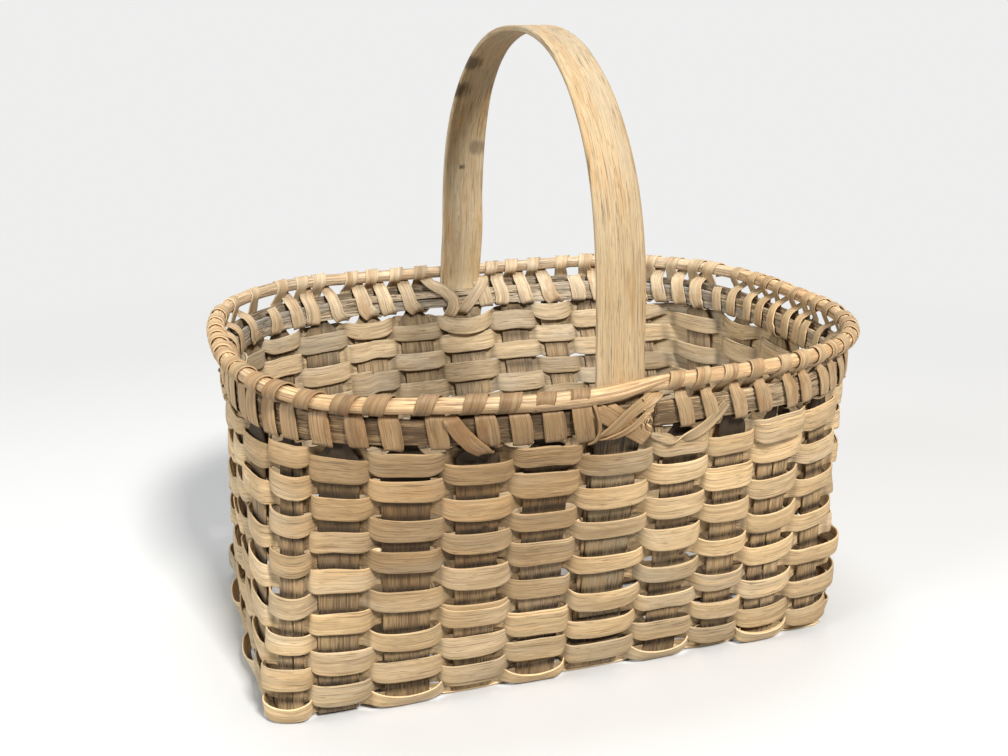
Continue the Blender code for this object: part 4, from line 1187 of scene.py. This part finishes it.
# The top row's loose end right of the handle, and a strap that leans across the band on the left
LOOSE_END = np.array([
    (17, 1.5, 165.8, 0.35), (22, 3.6, 163.6, 0.7), (30, 5.4, 162.2, 0.95), (39, 6.6, 164.0, 0.9),
    (47, 6.6, 169.0, 0.8), (54, 5.9, 176.0, 0.75), (59, 5.2, 182.0, 0.6)]) * ROUTE_UNITS
LEANING_STRAP = np.array([
    (1046, 3.0, 189, 0.7), (1047.5, 6.4, 187, 0.9), (1052, 7.0, 180, 1), (1059, 7.4, 172, 1),
    (1065, 6.4, 167.5, 0.9), (1067, 2.0, 167, 0.7)]) * ROUTE_UNITS
# Ties at the handle's feet: arc from the handle's middle, distance out and height, all in
# millimetres, with the strap's width last
FRONT_TIES = (
    (((-17, 1.0, 190), (-16.5, 5.6, 187.5), (-9, 6.3, 182), (0, 6.7, 175.5), (8, 6.5, 170),
      (14.5, 6.2, 165.5)), 8.8),
    (((-8, 1.0, 190), (-7, 5.6, 188), (0, 5.9, 182.5), (8, 6.0, 176), (16, 5.8, 169.5)), 4.6),
    (((-12, 3.0, 168.4), (-11.5, 6.8, 169.5), (-5, 7.7, 175), (1, 8.0, 181.5), (7, 7.9, 186.6),
      (12, 7.2, 189.4), (17, 5.4, 191.6), (20, 2.0, 192.6)), 7.2),
    (((-12, 3.0, 167.8), (-11, 7.2, 168.6), (-3, 8.4, 170.5), (5, 8.8, 175), (11, 8.6, 181),
      (15.5, 7.4, 187.5), (17, 4.0, 190)), 3.6),
    (((-23, 2.0, 193), (-23.5, 6.0, 188.5), (-23, 7.2, 183), (-21.5, 7.4, 175), (-19.5, 6.4, 168.5),
      (-18, 2.5, 167.5)), 10.5),
    (((-18, 2.0, 193), (-17, 7.6, 189.5), (-14.6, 9.0, 182), (-13.6, 9.0, 174), (-15.5, 7.4, 167.5),
      (-18, 4.5, 166)), 1.8),
)
BACK_TIES = (
    (((-19, 0.0, 191), (-18, -5.8, 189), (-13, -7.6, 183), (-5, -8.0, 175), (2, -7.6, 168),
      (5, -3.0, 165)), 7.5),
    (((26, 0.0, 192), (24, -5.6, 189), (15, -7.8, 184.5), (8, -8.6, 178), (8.5, -8.2, 171),
      (13, -6.5, 165), (15, -3.0, 163)), 9.0),
    (((-18, 6.0, 188), (-17, 6.4, 180), (-16, 6.0, 171), (-16, 1.0, 169)), 9.5),
)


def tie_strips(middle, ties, seed):
    """The cross ties at one foot of the handle."""
    strips = []
    for n, (route, width) in enumerate(ties):
        knots = np.column_stack([np.array(route) * MM + [middle, 0.0, 0.0], np.ones(len(route))])
        strips.append(route_strip(knots, width * MM, seed + n, shade=0.62 - 0.06 * n, sharp=2.2 * MM,
                                  thickness=1.0 * MM))
    return strips


def frayed_fibres(count, seed):
    """Short pale fibres where the splint under the front tie has frayed."""
    source = rng(seed)
    strips = []
    for n in range(count):
        arc, z = source.uniform(8, 16), source.uniform(176, 187)
        turn, climb = source.normal(0, 2.0), source.normal(0, 2.4)
        lifted = 8.8 + source.uniform(-0.8, 1.0)
        knots = np.array([(arc, 4.8, z, 1), (arc + turn * 0.3, 7.4, z + climb * 0.4, 1),
                          (arc + turn, lifted, z + climb, 0.7),
                          (arc + turn * 1.7, 8.2, z + climb * 1.5 - 1.0, 0.4)]) * ROUTE_UNITS
        strips.append(route_strip(knots, source.uniform(0.7, 1.3) * MM, seed + n, thickness=0.4 * MM,
                                  shade=1.0, sharp=1.5 * MM, cup=0.0, soil=0.0))
    return strips


# Handle
HANDLE_TAIL_LOW, HANDLE_SPRING_Z, HANDLE_APEX_Z = 44 * MM, 231.5 * MM, 374 * MM
HANDLE_HALF_SPAN, HANDLE_POWER, HANDLE_STEP = 147.8 * MM, 2.25, 2.0 * MM
HANDLE_TAIL_WIDTH, HANDLE_TAIL_THICK = 25.5 * MM, 1.3 * MM


def handle_leg(k, sign):
    """Middle of a leg: its tail lies inside the weave, and above the rim it runs straight to the arch."""
    z = np.linspace(HANDLE_TAIL_LOW, BODY_TOP, 70)
    left, right = stake_edges(k, z)
    centre = (left + right) / 2
    outward = unit(np.cross(unit(right - left), unit(np.gradient(centre, axis=0))))
    centre = centre + outward * (portion(168 * MM - z, 10 * MM) * (SEAT_GAP + STAKE_THICK) / 2)[:, None]
    spring = np.array([[0.0, sign * HANDLE_HALF_SPAN, HANDLE_SPRING_Z]])
    rise = np.linspace(0, 1, 16)[1:, None]
    return np.concatenate([centre, centre[-1:] * (1 - rise) + spring * rise])


def handle_path():
    """Centre of the handle from the front tail over the arch to the back tail.

    The arch is a superellipse of power 2.25 in Y and Z above two straight legs.
    """
    front, back = handle_leg(HANDLE_UPRIGHTS[0], -1), handle_leg(HANDLE_UPRIGHTS[1], 1)
    angle = np.linspace(math.pi, 0.0, 181)[1:-1]
    cosine, sine = np.cos(angle), np.sin(angle)
    y = HANDLE_HALF_SPAN * np.sign(cosine) * np.abs(cosine) ** (2 / HANDLE_POWER)
    z = HANDLE_SPRING_Z + (HANDLE_APEX_Z - HANDLE_SPRING_Z) * sine ** (2 / HANDLE_POWER)
    rough = np.concatenate([front, np.stack([0.0 * y, y, z], -1), back[::-1]])
    along = walked(rough)
    return smooth(follow(np.arange(0, along[-1], HANDLE_STEP), along, rough), 3.0)


def handle_strip(sizes):
    """The handle as one strip with rubbed, softly wandering edges."""
    centre = handle_path()
    count, height = len(centre), centre[:, 2]
    full = portion(height - 158 * MM, 10 * MM)
    leg_width = np.where(centre[:, 1] < 0, sizes.handle_width, sizes.handle_back_width)
    width = HANDLE_TAIL_WIDTH + (leg_width - HANDLE_TAIL_WIDTH) * full
    rise = portion(height - HANDLE_SPRING_Z, HANDLE_APEX_Z - HANDLE_SPRING_Z)
    width = width + (sizes.handle_top_width - leg_width) * rise ** 2
    thick = HANDLE_TAIL_THICK + (sizes.handle_thickness - HANDLE_TAIL_THICK) * full
    thick = thick * (1 + 0.05 * wander(count, HANDLE_STEP, 40 * MM, 501))
    low, high = (0.35 * MM * np.abs(wander(count, HANDLE_STEP, 45 * MM, seed)) for seed in (502, 503))
    # Painted shade and dirtying below the rim, where the handle lies in the weave, and beside the loops over
    # its upright
    soil = 0.04 + portion(180 * MM - height, 14 * MM) * (0.22 + stake_soil(centre, HANDLE_CROSS))
    across = np.tile([1.0, 0.0, 0.0], (count, 1))
    return Strip(centre, across, width / 2 - 0.3 * MM, thick, soil=soil, shade=0.6, seed=500,
                 relief=0.05 * MM, points=14, low_edge=-low, high_edge=high)


# Dark stains on the handle's back leg, with a small knot last: place, radius and strength
HANDLE_STAINS = (((-0.012, 0.0869, 0.3529), 12 * MM, 0.72), ((-0.014, 0.1109, 0.3339), 13 * MM, 0.82),
                 ((0.009, 0.1379, 0.2917), 8 * MM, 0.50), ((-0.002, 0.1427, 0.2769), 3.6 * MM, 1.0))


# Operators
class BASKET_OT_stakes(bpy.types.Operator):
    """Build the ten cross stakes and the five long stakes"""

    bl_idname = "basket.stakes"
    bl_label = "Stakes"

    def execute(self, context):
        step = context.scene.basket_sizes.stake_station
        material = wood("stake_wood", "stake", streak=0.85, pores=0.45, fade=0.25, soil=1.3, fine=1.35,
                        roughness=0.82, bump=0.6, orange=0.5, lines=0.85, spots=STAKE_HOLES, browning=1.0,
                        patch=(0.75, (0.60, 0.41, 0.20)), edge=0.60 * MM, behind=0.88, greying=0.6)
        for j in range(CROSSES):
            name = f"cross_stake_{j + 1:02d}"
            left, right = cross_stake_edges(j, step)
            strips = stake_strips(left, right, stake_soil(left, j), 200 + 10 * j, split_gap(name, left), step,
                                  STAKE_SHADES.get(name))
            build_piece(f"{name}_splint", strips, "stake", material, name)
        for i in range(LONGS):
            name = f"long_stake_{i + 1}"
            left, right = long_stake_edges(i, step)
            soil = np.where(left[:, 0] > 0, stake_soil(left, CROSSES + i), stake_soil(left, COUNT - 1 - i))
            strips = stake_strips(left, right, soil, 400 + 10 * i, split_gap(name, left), step)
            build_piece(f"{name}_splint", strips, "stake", material, name)
        return {"FINISHED"}


class BASKET_OT_weavers(bpy.types.Operator):
    """Build the fifteen rows of weavers and the strips along the base's edges"""

    bl_idname = "basket.weavers"
    bl_label = "Weavers"

    def execute(self, context):
        material = wood("weaver_wood", "weaver", streak=0.42, pores=0.75, fade=0.28, soil=0.9, roughness=0.70,
                        bump=0.35, orange=0.5, lines=0.75, browning=0.75, patch=(0.45, (0.42, 0.285, 0.14)),
                        edge=0.47 * MM, behind=0.84, greying=0.6)
        for row in range(1, ROWS + 1):
            node = f"weaver_row_{row:02d}"
            strips = row_strips(row, context.scene.basket_sizes)
            if row == ROWS:
                strips.append(route_strip(LOOSE_END, 9.0 * MM, 690, thickness=WEAVER_THICK, shade=0.7,
                                          sharp=3 * MM))
            build_piece(f"{node}_splints", strips, "weaver", material, node)
        for label, y in (("front", -EDGE_STRIP_Y), ("back", EDGE_STRIP_Y)):
            build_piece(f"base_edge_{label}_splint", [edge_strip(y)], "weaver", material,
                        f"base_edge_strip_{label}")
        return {"FINISHED"}


class BASKET_OT_rim_bands(bpy.types.Operator):
    """Build the two flat bands of the rim"""

    bl_idname = "basket.rim_bands"
    bl_label = "Rim bands"

    def execute(self, context):
        outer_wood, inner_wood = [
            wood(name, "rim_band", streak=1.8, pores=1.1, fade=fade, soil=1.0, fine=0.8, roughness=0.85,
                 bump=1.0, orange=0.4, lines=1.5, browning=0.85, patch=(dark, (0.17, 0.105, 0.055)),
                 spots=BAND_SPOTS)
            for name, fade, dark in (("outer_band_wood", 0.15, 0.80), ("inner_band_wood", 0.55, 0.25))]
        outer = band_strips(1, 172 * MM, 187.2 * MM, 81, 0.35)
        inner = band_strips(-1, 170.3 * MM, 183.3 * MM, 85, 0.85, split_from=(BACK_ARC + 18 * MM, 75 * MM))
        build_piece("outer_rim_band_splint", outer, "rim_band", outer_wood, "outer_rim_band")
        build_piece("inner_rim_band_splint", inner, "rim_band", inner_wood, "inner_rim_band")
        return {"FINISHED"}


class BASKET_OT_hoop(bpy.types.Operator):
    """Build the round hoop with its scarf joint"""

    bl_idname = "basket.hoop"
    bl_label = "Rim hoop"

    def execute(self, context):
        material = wood("hoop_wood", "hoop", streak=0.9, pores=0.7, fade=0.15, soil=0.6, roughness=0.62,
                        bump=0.45, orange=0.8, lines=0.9, browning=0.2, patch=(0.35, (0.46, 0.25, 0.10)))
        rod = hoop_rod(context.scene.basket_sizes.hoop_radius)
        build_piece("rim_hoop_rod", [rod], "hoop", material, "rim_hoop")
        return {"FINISHED"}


class BASKET_OT_lashing(bpy.types.Operator):
    """Wind the lashing round the rim and tie the handle's feet"""

    bl_idname = "basket.lashing"
    bl_label = "Lashing and ties"

    def execute(self, context):
        sizes = context.scene.basket_sizes
        material = wood("lashing_wood", "lashing", streak=0.45, pores=0.6, fade=0.10, soil=0.6,
                        roughness=0.62, bump=0.22, orange=0.6, lines=0.65, browning=0.72,
                        patch=(0.80, (0.42, 0.235, 0.10)), edge=0.42 * MM)
        left = lashing_strips(LEFT_WRAPS, sizes, 660) + [route_strip(LEANING_STRAP, 9.0 * MM, 698, shade=0.4)]
        front = tie_strips(HANDLE_ARC, FRONT_TIES, 700) + frayed_fibres(16, 740)
        for node, strips in (("rim_lashing_right", lashing_strips(RIGHT_WRAPS, sizes, 600)),
                             ("rim_lashing_left", left), ("handle_tie_front", front),
                             ("handle_tie_back", tie_strips(BACK_ARC, BACK_TIES, 720))):
            build_piece(f"{node}_splints", strips, "lashing", material, node)
        return {"FINISHED"}


class BASKET_OT_handle(bpy.types.Operator):
    """Build the bent handle"""

    bl_idname = "basket.handle"
    bl_label = "Handle"

    def execute(self, context):
        material = wood("handle_wood", "handle", streak=0.26, pores=0.9, fade=0.25, soil=0.9, fine=1.3,
                        roughness=0.66, bump=0.30, orange=0.9, lines=0.85, spots=HANDLE_STAINS, browning=0.0,
                        patch=(0.5, (0.50, 0.31, 0.13)), behind=0.74, greying=0.25)
        strip = handle_strip(context.scene.basket_sizes)
        build_piece("handle_splint", [strip], "handle", material, "handle")
        return {"FINISHED"}


# Stage
CAMERA_PLACE = (-0.2303, -0.6651, 0.3743)
CAMERA_YAW, CAMERA_PITCH, CAMERA_ROLL = 0.3119, -0.3013, -0.0068
CAMERA_FOCAL_PX, PHOTO_WIDTH_PX, SENSOR_MM = 1128.74, 1008, 36.0
# The floor is a disc of rings of quads round a fan. It fades into the backdrop between two distances
FLOOR_SIDES, FLOOR_RINGS, FLOOR_FADE = 96, (0.6, 1.2, 2.4, 6.0), (0.42, 1.15)
# Lamps: name, place, size, power and colour
LAMPS = (("key_lamp", (0.3, -2.6, 2.6), 0.6, 172, (1.0, 0.98, 0.95)),
         ("fill_lamp", (-2.4, -0.6, 1.2), 1.2, 46, (0.92, 0.97, 1.0)),
         ("top_lamp", (0.1, 0.3, 2.4), 1.0, 26, (1, 1, 1)))
LAMP_TARGET, WORLD_STRENGTH = (0.0, 0.0, 0.12), 0.10


def add_floor(colours):
    """A round floor that turns into the plain backdrop away from the basket."""
    angle = np.linspace(0, 2 * math.pi, FLOOR_SIDES + 1)[:-1]
    circle = np.stack([np.cos(angle), np.sin(angle), 0 * angle], -1)
    points = np.concatenate([np.zeros((1, 3))] + [radius * circle for radius in FLOOR_RINGS])
    at = 1 + np.arange(FLOOR_SIDES * len(FLOOR_RINGS)).reshape(-1, FLOOR_SIDES)
    after = np.roll(at, -1, axis=1)
    fan = np.stack([np.zeros_like(at[0]), at[0], after[0]], -1)
    quads = np.stack([at[:-1], at[1:], after[1:], after[:-1]], -1).reshape(-1, 4)
    mesh = bpy.data.meshes.new("floor")
    mesh.from_pydata(points.tolist(), [], fan.tolist() + quads.tolist())
    add_object("floor", mesh)
    floor, backdrop = tuple(colours.floor), tuple(colours.backdrop)
    shader = Shader(bpy.data.materials.new("floor_paint"))
    seen = shader.seen()
    shader.dress({"Base Color": shader.mix(seen, tinted(floor, 0.5), floor), "Roughness": 0.8})
    away = shader.node("ShaderNodeVectorMath", (shader.place(),), "Value", operation="LENGTH")
    glow = shader.node("ShaderNodeEmission", {"Color": backdrop, "Strength": 1.0}, "Emission")
    shader.blend(away.between(*FLOOR_FADE) * seen, Signal(shader, shader.surface.outputs[0]), glow)
    mesh.materials.append(shader.owner)


def add_world(colours):
    """Soft white light from all sides, which a viewer sees as the plain backdrop."""
    shader = Shader(bpy.data.worlds.new("studio"), "Background", "World Output")
    shader.dress({"Color": (1, 1, 1), "Strength": WORLD_STRENGTH})
    plain = shader.node("ShaderNodeBackground", {"Color": tuple(colours.backdrop)})
    shader.blend(shader.seen(), Signal(shader, shader.surface.outputs[0]), plain)
    return shader.owner


def add_lamp(name, place, size, power, colour):
    """A soft square lamp that points at the basket."""
    lamp = bpy.data.lights.new(name, "AREA")
    lamp.shape, lamp.size, lamp.energy, lamp.color = "SQUARE", size, power, colour
    thing = add_object(name, lamp)
    thing.location = place
    thing.rotation_euler = (Vector(LAMP_TARGET) - Vector(place)).to_track_quat("-Z", "Y").to_euler()


def add_camera():
    """The photo's camera, turned by its yaw, pitch and roll."""
    forward = np.array([math.sin(CAMERA_YAW) * math.cos(CAMERA_PITCH),
                        math.cos(CAMERA_YAW) * math.cos(CAMERA_PITCH), math.sin(CAMERA_PITCH)])
    level = np.array([math.cos(CAMERA_YAW), -math.sin(CAMERA_YAW), 0.0])
    upright = np.cross(level, forward)
    right = level * math.cos(CAMERA_ROLL) + upright * math.sin(CAMERA_ROLL)
    up = -level * math.sin(CAMERA_ROLL) + upright * math.cos(CAMERA_ROLL)
    lens = bpy.data.cameras.new("camera")
    lens.sensor_width, lens.sensor_fit = SENSOR_MM, "HORIZONTAL"
    lens.lens = CAMERA_FOCAL_PX / PHOTO_WIDTH_PX * SENSOR_MM
    lens.clip_start, lens.clip_end = 0.01, 50
    camera = add_object("camera", lens)
    matrix = np.eye(4)
    matrix[:3, :3] = np.column_stack([right, up, -forward])
    matrix[:3, 3] = CAMERA_PLACE
    camera.matrix_world = Matrix(matrix.tolist())
    return camera


class BASKET_OT_stage(bpy.types.Operator):
    """Lay the floor, hang the lamps and set the camera"""

    bl_idname = "basket.stage"
    bl_label = "Stage, lamps and camera"

    def execute(self, context):
        scene = context.scene
        add_floor(scene.basket_colours)
        scene.world = add_world(scene.basket_colours)
        for lamp in LAMPS:
            add_lamp(*lamp)
        scene.camera = add_camera()
        scene.view_settings.view_transform = "Standard"
        return {"FINISHED"}


class BASKET_PT_panel(bpy.types.Panel):
    """The basket's settings and its steps, in order"""

    bl_idname = "BASKET_PT_panel"
    bl_label = "Splint basket"
    bl_space_type = "VIEW_3D"
    bl_region_type = "UI"
    bl_category = "Basket"

    def draw(self, context):
        layout = self.layout
        for group in (context.scene.basket_sizes, context.scene.basket_colours):
            column = layout.column()
            for key in group.__annotations__:
                column.prop(group, key)
        for step in STEPS:
            layout.operator(step.bl_idname)


STEPS = (BASKET_OT_stakes, BASKET_OT_weavers, BASKET_OT_rim_bands, BASKET_OT_hoop, BASKET_OT_lashing,
         BASKET_OT_handle, BASKET_OT_stage)
CLASSES = (BasketSizes, BasketColours) + STEPS + (BASKET_PT_panel,)


def register():
    for entry in CLASSES:
        bpy.utils.register_class(entry)
    bpy.types.Scene.basket_sizes = PointerProperty(type=BasketSizes)
    bpy.types.Scene.basket_colours = PointerProperty(type=BasketColours)


def unregister():
    del bpy.types.Scene.basket_colours
    del bpy.types.Scene.basket_sizes
    for entry in reversed(CLASSES):
        bpy.utils.unregister_class(entry)


def main():
    """Register the add-on and build every piece in order."""
    register()
    for step in STEPS:
        group, name = step.bl_idname.split(".")
        getattr(getattr(bpy.ops, group), name)()


if __name__ == "__main__":
    main()
